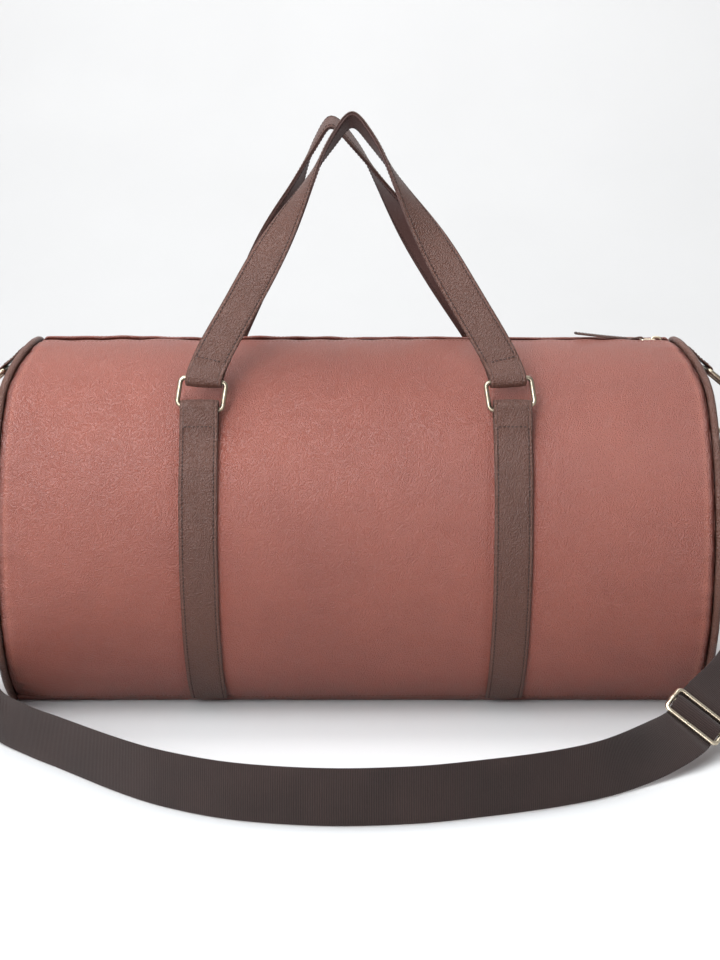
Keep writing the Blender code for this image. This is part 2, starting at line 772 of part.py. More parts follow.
# ---- shoulder strap -------------------------------------------------------------------
WEB_ROUTE = [
    # x, y, z of the strap's middle line, then its width direction
    (-0.3100, 0.0000, 0.1981, 1.00, 0.00, 0.00),
    (-0.3100, -0.0030, 0.1820, 1.00, 0.00, 0.00),
    (-0.3110, -0.0080, 0.1600, 1.00, 0.00, 0.00),
    (-0.3125, -0.0170, 0.1330, 0.99, 0.00, 0.08),
    (-0.3125, -0.0310, 0.1060, 0.95, 0.04, 0.25),
    (-0.3090, -0.0510, 0.0800, 0.86, 0.08, 0.45),
    (-0.3000, -0.0780, 0.0560, 0.68, 0.10, 0.70),
    (-0.2850, -0.1120, 0.0350, 0.40, 0.08, 0.90),
    (-0.2640, -0.1480, 0.0220, 0.12, 0.02, 0.99),
    (-0.2357, -0.1793, 0.0200, 0.00, 0.00, 1.00),
    (-0.2071, -0.2052, 0.0200, 0.00, 0.00, 1.00),
    (-0.1658, -0.2433, 0.0200, 0.00, 0.03, 1.00),
    (-0.1245, -0.2750, 0.0200, 0.00, 0.05, 1.00),
    (-0.0737, -0.2973, 0.0200, 0.00, 0.05, 1.00),
    (-0.0166, -0.3057, 0.0200, 0.00, 0.05, 1.00),
    (0.0363, -0.3026, 0.0200, 0.00, 0.05, 1.00),
    (0.0840, -0.2909, 0.0200, 0.00, 0.06, 1.00),
    (0.1263, -0.2761, 0.0200, -0.02, 0.08, 1.00),
    (0.1612, -0.2581, 0.0197, -0.10, 0.14, 0.98),
    (0.1898, -0.2348, 0.0195, -0.30, 0.22, 0.92),
    (0.2131, -0.2126, 0.0205, -0.60, 0.28, 0.74),
    (0.2328, -0.1923, 0.0232, -0.78, 0.30, 0.54),
    (0.2438, -0.1780, 0.0296, -0.78, 0.30, 0.54),
    (0.2548, -0.1637, 0.0360, -0.78, 0.30, 0.54),
    (0.2780, -0.1400, 0.0475, -0.84, 0.30, 0.44),
    (0.2960, -0.1120, 0.0590, -0.90, 0.28, 0.28),
    (0.3060, -0.0810, 0.0750, -0.96, 0.20, 0.14),
    (0.3110, -0.0540, 0.0960, -0.99, 0.08, 0.05),
    (0.3120, -0.0340, 0.1210, -1.00, 0.00, 0.00),
    (0.3115, -0.0180, 0.1480, -1.00, 0.00, 0.00),
    (0.3105, -0.0070, 0.1720, -1.00, 0.00, 0.00),
    (0.3100, -0.0020, 0.1860, -1.00, 0.00, 0.00),
    (0.3100, 0.0000, 0.1981, -1.00, 0.00, 0.00),
]
GLIDE_STOP = 22  # place in the list where the adjuster sits
GLIDE_HALF = 0.0115  # middle bar to end bar
GLIDE_REACH = 0.0213  # middle to the side wire, across the strap
WRAP = EYE_WIRE + GAP + WEB_THICK / 2
LAYER = WEB_THICK + GAP


def web_frames():
    """(point, outward normal, width direction, distance) along the strap, finely spaced."""
    line = curve_through([Vector(row[:3]) for row in WEB_ROUTE], 8)
    across = curve_through([Vector(row[3:]) for row in WEB_ROUTE], 8)
    total = length_of(line)
    glide = length_of(line[: GLIDE_STOP * 8 + 1])
    distances = spread(0.004, 0.040, 5) + spread(0.052, glide - 0.030, 46)
    distances += spread(glide - 0.022, glide + 0.022, 16)
    distances += spread(glide + 0.032, total - 0.030, 14) + spread(total - 0.022, total - 0.004, 3)
    points = along_line(line, distances)
    pairs = along_line(line, distances, across)
    frames = []
    for k, (point, side, distance) in enumerate(zip(points, pairs, distances)):
        ahead = ahead_at(points, k)
        side = (side - ahead * side.dot(ahead)).normalized()
        frames.append((point, ahead.cross(side).normalized(), side, distance))
    return frames, glide, total


def front_lift(distance, glide, total):
    """How far the long layer stands off the middle line: round the eyes, and in the adjuster."""
    from_end = min(distance, total - distance)
    if from_end < 0.030:
        return WRAP * (1 - smooth_step(from_end / 0.030))
    from_glide = abs(distance - glide)
    if from_glide < GLIDE_HALF:
        return 0.00075 + 0.00385 * cos(pi * from_glide / GLIDE_HALF)
    return -0.0031 * (1 - smooth_step((from_glide - GLIDE_HALF) / 0.010))


def back_lift(distance, glide, total):
    """The short layer behind the long one, from an eye to where its end is sewn."""
    from_end = min(distance, total - distance)
    if from_end < 0.030:
        return -LAYER + (LAYER - WRAP) * (1 - smooth_step(from_end / 0.030))
    near_glide = 1 - smooth_step((distance - glide - GLIDE_HALF) / 0.010)
    if distance - glide < 0.030:
        return -LAYER - 0.0031 * near_glide
    return -LAYER


def make_webbing():
    frames, glide, total = web_frames()
    layer = [(p + n * front_lift(d, glide, total), w) for p, n, w, d in frames]
    flap = [(p + n * back_lift(d, glide, total), w) for p, n, w, d in frames if d <= 0.041]
    start = glide + GLIDE_HALF - 0.001
    back = [(p + n * back_lift(d, glide, total), w) for p, n, w, d in frames if d >= start]
    left = round_bar(Vector((-HOOK_X, 0, EYE_Z)), Vector((1, 0, 0)), WRAP, 170, 10)
    right = round_bar(Vector((HOOK_X, 0, EYE_Z)), Vector((-1, 0, 0)), WRAP, 10, 170)
    middle = min(range(len(frames)), key=lambda k: abs(frames[k][3] - glide))
    point, normal, side, _ = frames[middle]
    ahead = side.cross(normal).normalized()
    inner = 0.0017 + GAP + WEB_THICK / 2
    end = []
    for a in spread(290, 80, 9):
        end.append((point + (ahead * cos(radians(a)) + normal * sin(radians(a))) * inner, side))
    strip = flap[::-1] + left + layer + right + back[::-1] + end
    centres = [s[0] for s in strip]
    across = [s[1] for s in strip]
    ribbon("shoulder_webbing", centres, across, WEB_WIDTH, WEB_THICK, "webbing")
    make_glide(point, ahead, side)


def round_bar(bar, side, radius, first, last):
    """Half a turn over an eye's bar; 0 degrees is behind it and 180 in front."""
    found = []
    for a in spread(last, first, 8):
        place = Vector((0, cos(radians(a)), sin(radians(a)))) * radius
        found.append((bar + place, side))
    return found


def make_glide(point, ahead, side):
    """The adjuster: a wire frame with a middle bar."""
    corners = [
        point - ahead * GLIDE_HALF - side * GLIDE_REACH,
        point - ahead * GLIDE_HALF + side * GLIDE_REACH,
        point + ahead * GLIDE_HALF + side * GLIDE_REACH,
        point + ahead * GLIDE_HALF - side * GLIDE_REACH,
    ]
    frame = as_mesh(wire("tri_glide", rounded(corners, 0.0035, 4), 0.0017, "light_brass", cyclic=True))
    ends = [point - side * GLIDE_REACH, point + side * GLIDE_REACH]
    bar = as_mesh(wire("glide_middle_bar", ends, 0.0016, "light_brass"))
    join(frame, bar)


# ---- the whole bag --------------------------------------------------------------------
SIDES = {"left": -1, "right": 1}

clear_scene()
BAG = new_collection("duffel_bag")
CUTTERS = new_collection("joined_and_cut_pieces")

for panel, side in (("front_panel", -1), ("back_panel", 1)):
    make_side_panel(panel, side)
    make_carrying(side)
make_base()
for name, side in SIDES.items():
    make_end(name, side)
    make_tab(name, side)
    make_d_ring(name, side)
    make_hook(name, side)
make_lining()
make_zipper()
make_webbing()
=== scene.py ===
"""Looks of the leather duffel bag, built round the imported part. Metres, +Z up, the front faces -Y."""

from math import cos, pi, radians, sin

import bpy
import numpy as np

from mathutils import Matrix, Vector


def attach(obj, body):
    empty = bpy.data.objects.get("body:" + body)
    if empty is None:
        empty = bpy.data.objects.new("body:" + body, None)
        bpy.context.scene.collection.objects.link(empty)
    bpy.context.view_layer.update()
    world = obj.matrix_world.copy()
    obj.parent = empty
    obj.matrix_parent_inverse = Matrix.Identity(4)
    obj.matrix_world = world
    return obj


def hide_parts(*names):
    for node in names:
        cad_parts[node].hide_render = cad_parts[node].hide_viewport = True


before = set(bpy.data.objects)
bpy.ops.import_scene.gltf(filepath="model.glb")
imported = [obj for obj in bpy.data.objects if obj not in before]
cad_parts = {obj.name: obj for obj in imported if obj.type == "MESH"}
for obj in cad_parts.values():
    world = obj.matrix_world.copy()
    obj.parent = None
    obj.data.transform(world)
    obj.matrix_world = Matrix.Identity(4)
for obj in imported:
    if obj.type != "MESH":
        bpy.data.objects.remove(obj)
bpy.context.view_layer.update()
scene = bpy.context.scene
scene.view_settings.view_transform = "Standard"

SIDES = {"left": -1, "right": 1}
FACES = {"front": -1, "back": 1}

# ---- camera ---------------------------------------------------------------------------
LENS = 57.94
CAMERA_AT = (0.0030, -1.235, 0.3916)
CAMERA_PITCH = 10.2  # degrees below level


def add_camera():
    data = bpy.data.cameras.new("view")
    data.sensor_fit = "VERTICAL"
    data.sensor_height = 36
    data.lens = LENS
    camera = bpy.data.objects.new("view", data)
    camera.location = CAMERA_AT
    camera.rotation_euler = (radians(90 - CAMERA_PITCH), 0, 0)
    scene.collection.objects.link(camera)
    scene.camera = camera


add_camera()


# ---- vectors and lines ----------------------------------------------------------------
def vec(*values):
    return np.array(values, float)


def unit(v):
    return v / np.maximum(np.linalg.norm(v, axis=-1, keepdims=True), 1e-12)


def smooth_step(value):
    t = np.clip(value, 0.0, 1.0)
    return t * t * (3 - 2 * t)


def curve_through(points, per_step):
    """A smooth line through given points (Catmull-Rom)."""
    points = np.asarray(points, float)
    ends = np.vstack([2 * points[0] - points[1], points, 2 * points[-1] - points[-2]])
    t = (np.arange(per_step) / per_step)[:, None]
    line = []
    for a, b, c, d in zip(ends, ends[1:], ends[2:], ends[3:]):
        bend = (2 * a - 5 * b + 4 * c - d) * t**2
        line.append((2 * b + (c - a) * t + bend + (3 * b - a - 3 * c + d) * t**3) / 2)
    line.append(points[-1:])
    return np.vstack(line)


def lengths_of(line):
    steps = np.linalg.norm(np.diff(line, axis=0), axis=1)
    return np.concatenate([[0.0], np.cumsum(steps)])


def along_line(line, distances, values=None):
    values = line if values is None else values
    at = lengths_of(line)
    return np.stack([np.interp(distances, at, values[:, k]) for k in range(3)], axis=1)


def soften(values, reach):
    """Running weighted mean over 2*reach+1 rows, the ends kept."""
    if reach < 1:
        return values
    weights = np.hanning(2 * reach + 3)[1:-1]
    weights /= weights.sum()
    padded = np.vstack([np.repeat(values[:1], reach, 0), values, np.repeat(values[-1:], reach, 0)])
    return np.stack([np.convolve(padded[:, k], weights, "valid") for k in range(3)], axis=1)


def even_strip(points, across, step, reach=2):
    """The same strip with rows evenly spaced and corners softened."""
    points = np.asarray(points, float)
    across = unit(np.asarray(across, float))
    total = lengths_of(points)[-1]
    at = np.linspace(0, total, max(8, int(total / step)))
    line = soften(along_line(points, at), reach)
    return line, unit(soften(along_line(points, at, across), reach))


def frames_of(line, across):
    """(ahead, normal, across) at each row of a strip."""
    ahead = unit(np.gradient(line, axis=0))
    across = unit(across - ahead * (across * ahead).sum(1, keepdims=True))
    return ahead, np.cross(ahead, across), across


def waves(seed, *terms):
    """A repeatable sum of sines of the given arrays, between about -1 and 1."""
    rng = np.random.default_rng(seed)
    total = 0.0
    for _ in range(4):
        phase = rng.uniform(0, 2 * pi)
        total = total + np.sin(sum(t * rng.uniform(0.55, 1.6) for t in terms) + phase)
    return total / 2.6


# ---- meshes ---------------------------------------------------------------------------
def loft(rings, wrap=True, caps=True):
    """(vertices, faces) through rows of points."""
    rows, cols = rings.shape[:2]
    i, j = np.meshgrid(np.arange(rows - 1), np.arange(cols if wrap else cols - 1), indexing="ij")
    k = (j + 1) % cols
    quads = np.stack([i * cols + j, i * cols + k, (i + 1) * cols + k, (i + 1) * cols + j], -1)
    faces = quads.reshape(-1, 4).tolist()
    if wrap and caps:
        faces.append(list(range(cols))[::-1])
        faces.append(list(range((rows - 1) * cols, rows * cols)))
    return rings.reshape(-1, 3), faces


def joined(parts):
    """One (vertices, faces) from several."""
    vertices, faces, start = [], [], 0
    for points, found in parts:
        vertices.append(points)
        faces += [[k + start for k in face] for face in found]
        start += len(points)
    return np.vstack(vertices), faces


def volume_of(points, faces):
    total = 0.0
    by_size = {}
    for face in faces:
        by_size.setdefault(len(face), []).append(face)
    for size, group in by_size.items():
        corners = points[np.array(group)]
        for k in range(1, size - 1):
            cross = np.cross(corners[:, k], corners[:, k + 1])
            total += (corners[:, 0] * cross).sum()
    return total


def piece(name, shape, look, replaced=None, body="root", shade=None):
    """A finished mesh that rides on a body, in place of a CAD node. shade is one number for each vertex."""
    points, faces = shape
    if volume_of(points, faces) < 0:
        faces = [face[::-1] for face in faces]
    data = bpy.data.meshes.new(name)
    data.from_pydata(points.tolist(), [], faces)
    data.update()
    data.shade_smooth()
    data.set_sharp_from_angle(angle=radians(55))
    marks = data.attributes.new("shade", "FLOAT", "POINT")
    values = np.ones(len(points)) if shade is None else np.asarray(shade, float)
    marks.data.foreach_set("value", values.astype(np.float32))
    obj = bpy.data.objects.new(name, data)
    scene.collection.objects.link(obj)
    data.materials.append(look)
    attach(obj, body)
    if replaced:
        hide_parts(replaced)
    return obj


def tube(line, radius, sides=16, closed=False):
    """A round wire along a line; radius is one number or one for each point."""
    line = np.asarray(line, float)
    if closed:
        ahead = unit(np.roll(line, -1, 0) - np.roll(line, 1, 0))
    else:
        ahead = unit(np.gradient(line, axis=0))
    side = np.cross(ahead[0], vec(0.31, 0.57, 0.76))
    sides_at = []
    for a in ahead:
        side = unit(side - a * side.dot(a))
        sides_at.append(side)
    sides_at = np.array(sides_at)
    if closed:  # spread the leftover twist
        last = unit(sides_at[-1] - ahead[0] * sides_at[-1].dot(ahead[0]))
        twist = np.arctan2(np.cross(sides_at[0], last).dot(ahead[0]), sides_at[0].dot(last))
    up = np.cross(ahead, sides_at)
    turn = np.linspace(0, 2 * pi, sides, endpoint=False)[None, :, None]
    if closed:
        turn = turn - (twist * np.linspace(0, 1, len(line), endpoint=False))[:, None, None]
    wide = np.broadcast_to(np.asarray(radius, float), (len(line),))[:, None, None]
    rings = line[:, None] + (sides_at[:, None] * np.cos(turn) + up[:, None] * np.sin(turn)) * wide
    if closed:
        rings = np.concatenate([rings, rings[:1]])
        points, faces = loft(rings, caps=False)
        keep = len(line) * sides
        faces = [[k % keep for k in face] for face in faces]
        return points[:keep], faces
    return loft(rings)


def rounded(corners, radius, steps, straight=6):
    """A closed outline with round corners and extra points on its straights."""
    corners = [np.asarray(c, float) for c in corners]
    line = []
    for k, corner in enumerate(corners):
        back = unit(corners[k - 1] - corner) * radius
        on = unit(corners[(k + 1) % len(corners)] - corner) * radius
        hub = corner + back + on
        for step in range(steps + 1):
            a = pi / 2 * step / steps
            line.append(hub - on * cos(a) - back * sin(a))
        start, stop = corner + on, corners[(k + 1) % len(corners)] - on
        for step in range(1, straight):
            line.append(start + (stop - start) * step / straight)
    return np.array(line)


def turned(profile, centre, axis=(0, 0, 1), sides=40):
    """A turned solid: (radius, height) pairs round an axis through centre."""
    axis = unit(np.asarray(axis, float))
    x = unit(np.cross(axis, vec(0.3, 0.9, 0.2)))
    y = np.cross(axis, x)
    turn = np.linspace(0, 2 * pi, sides, endpoint=False)
    circle = np.cos(turn)[:, None] * x + np.sin(turn)[:, None] * y
    rings = np.array([centre + circle * r + axis * h for r, h in profile])
    return loft(rings)


def block(low, high, edge):
    """A box with rounded edges, made of stacked outlines."""
    low, high = np.asarray(low, float), np.asarray(high, float)
    rings = []
    for level, inset in ((0, 1), (0.3, 0.3), (1, 0), (-1, 0), (-0.3, 0.3), (0, 1)):
        z = (low[2] + edge * level) if len(rings) < 3 else (high[2] + edge * level)
        cut = edge * inset
        a, b = low[:2] + cut, high[:2] - cut
        corners = [(a[0], a[1]), (b[0], a[1]), (b[0], b[1]), (a[0], b[1])]
        line = rounded([vec(x, y, z) for x, y in corners], edge, 3, straight=2)
        rings.append(line)
    return loft(np.array(rings))


SEAM_IN = 0.0028  # from a strap's edge to its sewn line


def strap_profile(width, thick, crown=0.0003, groove=0.00022, seam=SEAM_IN, both=False):
    """Closed (across, height) outline of a sewn strap: rolled edges, stitch channels, a soft middle."""
    half = width / 2
    inner = half - seam
    stops = [-0.98, -0.9]
    stops += [-(inner + d) / half for d in (0.0011, 0.0006, 0.0, -0.0006, -0.0013)]
    stops += [-0.55, -0.28, 0.0]
    stops = sorted(stops + [-s for s in stops[:-1]])
    top = []
    for share in stops:
        a = share * half
        rise = crown * (1 - share**2)
        sunk = groove * np.exp(-(((abs(a) - inner) / 0.00055) ** 2))
        edge = thick * 0.30 * max(0.0, (abs(share) - 0.88) / 0.12) ** 2
        top.append((a, thick / 2 + rise - sunk - edge))
    ends = [(half, thick * 0.12), (half, -thick * 0.12)]
    if both:
        low = [(a, -h) for a, h in reversed(top)]
    else:
        low = [(a * 0.98, -thick / 2) for a in (half, half * 0.6, 0, -half * 0.6, -half)]
    return np.array(top + ends + low + [(-a, h) for a, h in reversed(ends)])


def edge_marks(profile, width, rows):
    """Shade marks of a sewn strap: dark edge paint at the cut edges, painted shade in the stitch channels, a
    painted highlight on the rounded edges between them.
    """
    off = np.abs(profile[:, 0])
    share = off / (width / 2)
    # dark edge paint at the cut edges, painted highlight on the rounded edges, painted shade in the stitch
    # channels
    marks = np.where(share > 0.97, 0.55, np.where(np.abs(share - 0.90) < 0.05, 1.25, 1.0))
    return np.tile(np.where(np.abs(off - (width / 2 - SEAM_IN)) < 0.0003, 0.5, marks), rows)


def swept(line, across, profile, widths=None, swell=None):
    """A strap: the outline carried along a strip."""
    _, normal, across = frames_of(line, across)
    wide = np.ones(len(line)) if widths is None else widths
    high = np.ones(len(line)) if swell is None else swell
    a = profile[None, :, 0, None] * wide[:, None, None]
    h = profile[None, :, 1, None] * high[:, None, None]
    return loft(line[:, None] + across[:, None] * a + normal[:, None] * h)


def stitches(line, normal, pitch=0.0031, length=0.0023, radius=0.00034, sink=0.0):
    """A row of short sewn threads that dive in at both ends."""
    at = lengths_of(line)
    count = int(at[-1] / pitch)
    if count < 1:
        return np.zeros((0, 3)), []
    where = (np.arange(count) + 0.5) * pitch
    centre = along_line(line, where)
    ahead = unit(along_line(line, where + 0.0004) - along_line(line, where - 0.0004))
    up = along_line(line, where, normal)
    up = unit(up - ahead * (up * ahead).sum(1, keepdims=True))
    side = np.cross(ahead, up)
    turn = np.linspace(0, 2 * pi, 6, endpoint=False)
    rows = []
    for t, r, z in ((-1, 0.45, -1.1), (-0.72, 0.9, 0.0), (0, 1, 0.35), (0.72, 0.9, 0.0), (1, 0.45, -1.1)):
        wide = r * radius
        rows.append([(t * length / 2, cos(a) * wide, sin(a) * wide + z * radius - sink) for a in turn])
    form = np.array(rows).reshape(-1, 3)
    points = (
        centre[:, None]
        + ahead[:, None] * form[None, :, :1]
        + side[:, None] * form[None, :, 1:2]
        + up[:, None] * form[None, :, 2:]
    )
    _, faces = loft(np.zeros((5, 6, 3)))
    size = len(form)
    return points.reshape(-1, 3), [[k + n * size for k in face] for n in range(count) for face in faces]


# ---- materials ------------------------------------------------------------------------
class Look:
    """A material whose pattern nodes are added one by one."""

    def __init__(self, name, **settings):
        self.material = bpy.data.materials.new(name)
        self.material.use_nodes = True
        self.tree = self.material.node_tree
        self.shader = self.tree.nodes["Principled BSDF"]
        for key, value in settings.items():
            self.shader.inputs[key.replace("_", " ")].default_value = value
        self.place = self.add("ShaderNodeTexCoord").outputs["Object"]

    def add(self, kind, **settings):
        node = self.tree.nodes.new(kind)
        for key, value in settings.items():
            setattr(node, key, value)
        return node

    def link(self, source, target):
        self.tree.links.new(source, target)

    def math(self, operation, a, b=None, clamp=False):
        node = self.add("ShaderNodeMath", operation=operation, use_clamp=clamp)
        for socket, value in zip(node.inputs, (a, b)):
            if value is None:
                continue
            if isinstance(value, (int, float)):
                socket.default_value = value
            else:
                self.link(value, socket)
        return node.outputs[0]

    def noise(self, scale, detail=3, place=None, rough=0.5):
        node = self.add("ShaderNodeTexNoise")
        node.inputs["Scale"].default_value = scale
        node.inputs["Detail"].default_value = detail
        node.inputs["Roughness"].default_value = rough
        self.link(place or self.place, node.inputs["Vector"])
        return node

    def cells(self, scale, place=None, feature="F1", smooth=None):
        node = self.add("ShaderNodeTexVoronoi", feature=feature)
        node.inputs["Scale"].default_value = scale
        if smooth is not None:
            node.inputs["Smoothness"].default_value = smooth
        self.link(place or self.place, node.inputs["Vector"])
        return node.outputs["Distance"]

    def spread(self, value, low, high, to_low=0.0, to_high=1.0):
        node = self.add("ShaderNodeMapRange")
        self.link(value, node.inputs["Value"])
        for key, number in (("From Min", low), ("From Max", high), ("To Min", to_low), ("To Max", to_high)):
            node.inputs[key].default_value = number
        return node.outputs["Result"]

    def mark(self, name):
        return self.add("ShaderNodeAttribute", attribute_name=name).outputs["Fac"]

    def mix(self, share, a, b, blend="MIX"):
        node = self.add("ShaderNodeMix", data_type="RGBA", blend_type=blend)
        for socket, value in ((node.inputs[0], share), (node.inputs[6], a), (node.inputs[7], b)):
            if isinstance(value, (int, float)):
                socket.default_value = value
            elif isinstance(value, tuple):
                socket.default_value = (*value, 1)
            else:
                self.link(value, socket)
        return node.outputs[2]

    def stretched(self, scale, shake=0.0, shake_scale=100.0):
        """Object coordinates, scaled unevenly and shaken by noise."""
        at = self.place
        if shake:
            noise = self.noise(shake_scale, 2)
            centred = self.add("ShaderNodeVectorMath", operation="SUBTRACT")
            self.link(noise.outputs["Color"], centred.inputs[0])
            centred.inputs[1].default_value = (0.5, 0.5, 0.5)
            scaled = self.add("ShaderNodeVectorMath", operation="SCALE")
            self.link(centred.outputs[0], scaled.inputs[0])
            scaled.inputs["Scale"].default_value = shake
            moved = self.add("ShaderNodeVectorMath", operation="ADD")
            self.link(at, moved.inputs[0])
            self.link(scaled.outputs[0], moved.inputs[1])
            at = moved.outputs[0]
        node = self.add("ShaderNodeVectorMath", operation="MULTIPLY")
        self.link(at, node.inputs[0])
        node.inputs[1].default_value = scale
        return node.outputs[0]

    def bump(self, height, strength, distance):
        node = self.add("ShaderNodeBump")
        node.inputs["Strength"].default_value = strength
        node.inputs["Distance"].default_value = distance
        self.link(height, node.inputs["Height"])
        self.link(node.outputs[0], self.shader.inputs["Normal"])

    def colour(self, source):
        self.link(source, self.shader.inputs["Base Color"])

    def rough(self, source):
        self.link(source, self.shader.inputs["Roughness"])


def leather(name, dark, light, wear_and_highlight, grain, depth, rough, strength, shine):
    """Pebbled leather: shaken cells for the grain, broad tone changes, and the shade mark: painted shade and
    dark edge paint below 1, painted highlights above 1.
    """
    look = Look(name, Specular_IOR_Level=shine)
    at = look.stretched((1.0, 1.0, 0.82), shake=0.0006, shake_scale=420)
    cell = look.cells(grain, at, "SMOOTH_F1", 0.35)
    pebble = look.spread(cell, 0.12, 0.62, 1.0, 0.0)
    pore = look.noise(grain * 2.2, 3, at, 0.6).outputs["Fac"]
    fine = look.noise(grain * 5, 2, at).outputs["Fac"]
    height = look.math("ADD", look.math("MULTIPLY", pebble, 0.75), look.math("MULTIPLY", pore, 0.55))
    height = look.math("ADD", height, look.math("MULTIPLY", fine, 0.12))
    look.bump(height, strength, depth)
    broad = look.spread(look.noise(9, 3).outputs["Fac"], 0.3, 0.7)
    patch = look.spread(look.noise(46, 4).outputs["Fac"], 0.3, 0.7)
    tone = look.math("ADD", look.math("MULTIPLY", broad, 0.55), look.math("MULTIPLY", patch, 0.25))
    tone = look.math("ADD", tone, look.math("MULTIPLY", pebble, 0.2), clamp=True)
    base = look.mix(tone, dark, light)
    shade = look.mark("shade")
    # shade below 1 darkens: painted shade at seams, stitch channels and hidden faces, and dark edge paint on
    # cut edges
    base = look.mix(look.spread(shade, 0.0, 1.0, 0.85, 0.0), base, tuple(v * 0.28 for v in dark))
    # shade above 1 lightens towards the fourth colour: painted highlights on rounded strap edges, panel rims
    # and the piping's outer side
    base = look.mix(look.spread(shade, 1.0, 2.0, 0.0, 0.7), base, wear_and_highlight)
    look.colour(base)
    valley = look.math("MULTIPLY", look.math("SUBTRACT", 1.0, pebble), 0.12)
    tall = look.spread(patch, 0.0, 1.0, rough - 0.035, rough + 0.035)
    look.rough(look.math("ADD", tall, valley, clamp=True))
    return look.material


def metal(name, tone, dull, rough, wear_and_highlight):
    """Plated metal: darker patina in patches, fine scratches."""
    look = Look(name, Metallic=1.0)
    patch = look.noise(90, 5, rough=0.65).outputs["Fac"]
    fine = look.noise(900, 3).outputs["Fac"]
    lines = look.noise(1.0, 2, look.stretched((300, 300, 3200), 0.001, 150)).outputs["Fac"]
    share = look.spread(look.math("ADD", patch, look.math("MULTIPLY", fine, 0.25)), 0.5, 0.78, 0.0, wear_and_highlight)
    look.colour(look.mix(share, tone, dull))
    worn_rough = look.spread(share, 0, 1, rough, rough + 0.2)
    look.rough(look.math("ADD", worn_rough, look.math("MULTIPLY", lines, 0.07)))
    look.bump(look.math("ADD", fine, lines), 0.12, 0.00006)
    return look.material


def cloth(name, dark, light, across, along, depth):
    """Plain weave: two crossing sets of threads in object space."""
    look = Look(name, Roughness=0.9, Specular_IOR_Level=0.25, Sheen_Weight=0.15)
    split = look.add("ShaderNodeSeparateXYZ")
    look.link(look.place, split.inputs[0])
    warp = look.math("SINE", look.math("MULTIPLY", split.outputs[0], across))
    mixed = look.math("ADD", split.outputs[1], split.outputs[2])
    weft = look.math("SINE", look.math("MULTIPLY", mixed, along))
    weave = look.math("MULTIPLY", warp, weft)
    fuzz = look.noise(1400, 3).outputs["Fac"]
    height = look.math("ADD", look.math("MULTIPLY", weave, 0.5), look.math("MULTIPLY", fuzz, 0.6))
    look.bump(height, 0.6, depth)
    tone = look.math("ADD", look.spread(weave, -1, 1, 0.1, 0.6), look.math("MULTIPLY", fuzz, 0.4))
    patch = look.noise(30, 3).outputs["Fac"]
    tone = look.math("MULTIPLY", tone, look.spread(patch, 0.2, 0.8, 0.7, 1.1), clamp=True)
    base = look.mix(tone, dark, light)
    # shade below 1 darkens towards near black: painted shade
    base = look.mix(look.spread(look.mark("shade"), 0.0, 1.0, 0.7, 0.0), base, (0.004, 0.003, 0.003))
    look.colour(base)
    return look.material


def webbing_look(name):
    """Ribbed webbing: threads run along the strap between the modelled ribs, with painted highlights on the
    crests and painted shade in the troughs.
    """
    look = Look(name, Specular_IOR_Level=0.3, Sheen_Weight=0.1)
    along, aside = look.mark("along"), look.mark("aside")
    yarn = look.math("SINE", look.math("MULTIPLY", aside, 2 * pi / 0.00075))
    # twist follows the ribs' pitch: a lighter tone on every rib crest, a painted highlight
    twist = look.math("SINE", look.math("MULTIPLY", along, 2 * pi / 0.0015))
    fuzz = look.noise(2200, 4).outputs["Fac"]
    height = look.math("ADD", look.math("MULTIPLY", yarn, 0.35), look.math("MULTIPLY", fuzz, 0.8))
    look.bump(height, 0.7, 0.0002)
    patch = look.spread(look.noise(24, 4).outputs["Fac"], 0.3, 0.7)
    tone = look.math("ADD", look.spread(twist, -1, 1, 0.0, 0.45), look.math("MULTIPLY", patch, 0.3))
    tone = look.math("ADD", tone, look.math("MULTIPLY", fuzz, 0.3), clamp=True)
    base = look.mix(tone, (0.007, 0.0034, 0.0028), (0.036, 0.019, 0.016))
    # shade below 1 darkens towards near black: painted shade in the rib troughs
    look.colour(look.mix(look.spread(look.mark("shade"), 0.0, 1.0, 0.8, 0.0), base, (0.006, 0.004, 0.004)))
    look.rough(look.spread(fuzz, 0.2, 0.8, 0.72, 0.95))
    return look.material


def thread_look(name, tone):
    look = Look(name, Roughness=0.7, Specular_IOR_Level=0.3)
    twist = look.noise(1.0, 2, look.stretched((2600, 2600, 2600))).outputs["Fac"]
    look.colour(look.mix(look.spread(twist, 0.3, 0.7), tone, tuple(min(1, v * 1.9 + 0.004) for v in tone)))
    look.bump(twist, 0.5, 0.0001)
    return look.material


TAN = leather(
    "tan_pebbled_leather", (0.163, 0.030, 0.0155), (0.220, 0.047, 0.025), (0.36, 0.13, 0.085),
    1050, 0.00070, 0.29, 0.95, 0.80,
)
# a darker copy of the tan leather: painted shade for the hidden base board
TAN_SHADOW = leather(
    "tan_leather_shaded_copy", (0.12, 0.035, 0.022), (0.17, 0.055, 0.036), (0.25, 0.10, 0.07),
    560, 0.0002, 0.55, 0.4, 0.50,
)
BROWN = leather(
    "brown_pebbled_leather", (0.056, 0.018, 0.010), (0.092, 0.033, 0.020), (0.18, 0.080, 0.058),
    900, 0.00080, 0.33, 0.95, 0.50,
)
BACKING = leather(
    "brown_backing_leather", (0.040, 0.016, 0.013), (0.070, 0.030, 0.025), (0.12, 0.06, 0.05),
    620, 0.0003, 0.58, 0.5, 0.45,
)
WEBBING = webbing_look("ribbed_webbing")
TAPE = cloth("zipper_tape_weave", (0.03, 0.010, 0.007), (0.085, 0.030, 0.022), 6200, 6200, 0.0001)
LINING = cloth("lining_weave", (0.05, 0.038, 0.030), (0.13, 0.10, 0.082), 5200, 5200, 0.00015)
DARK_BRASS = metal("antique_brass", (0.46, 0.40, 0.30), (0.10, 0.080, 0.060), 0.24, 0.6)
LIGHT_BRASS = metal("light_antique_gold", (0.74, 0.66, 0.52), (0.33, 0.26, 0.17), 0.22, 0.5)
THREAD = thread_look("dark_thread", (0.016, 0.009, 0.008))
TAN_THREAD = thread_look("brown_thread", (0.10, 0.035, 0.024))

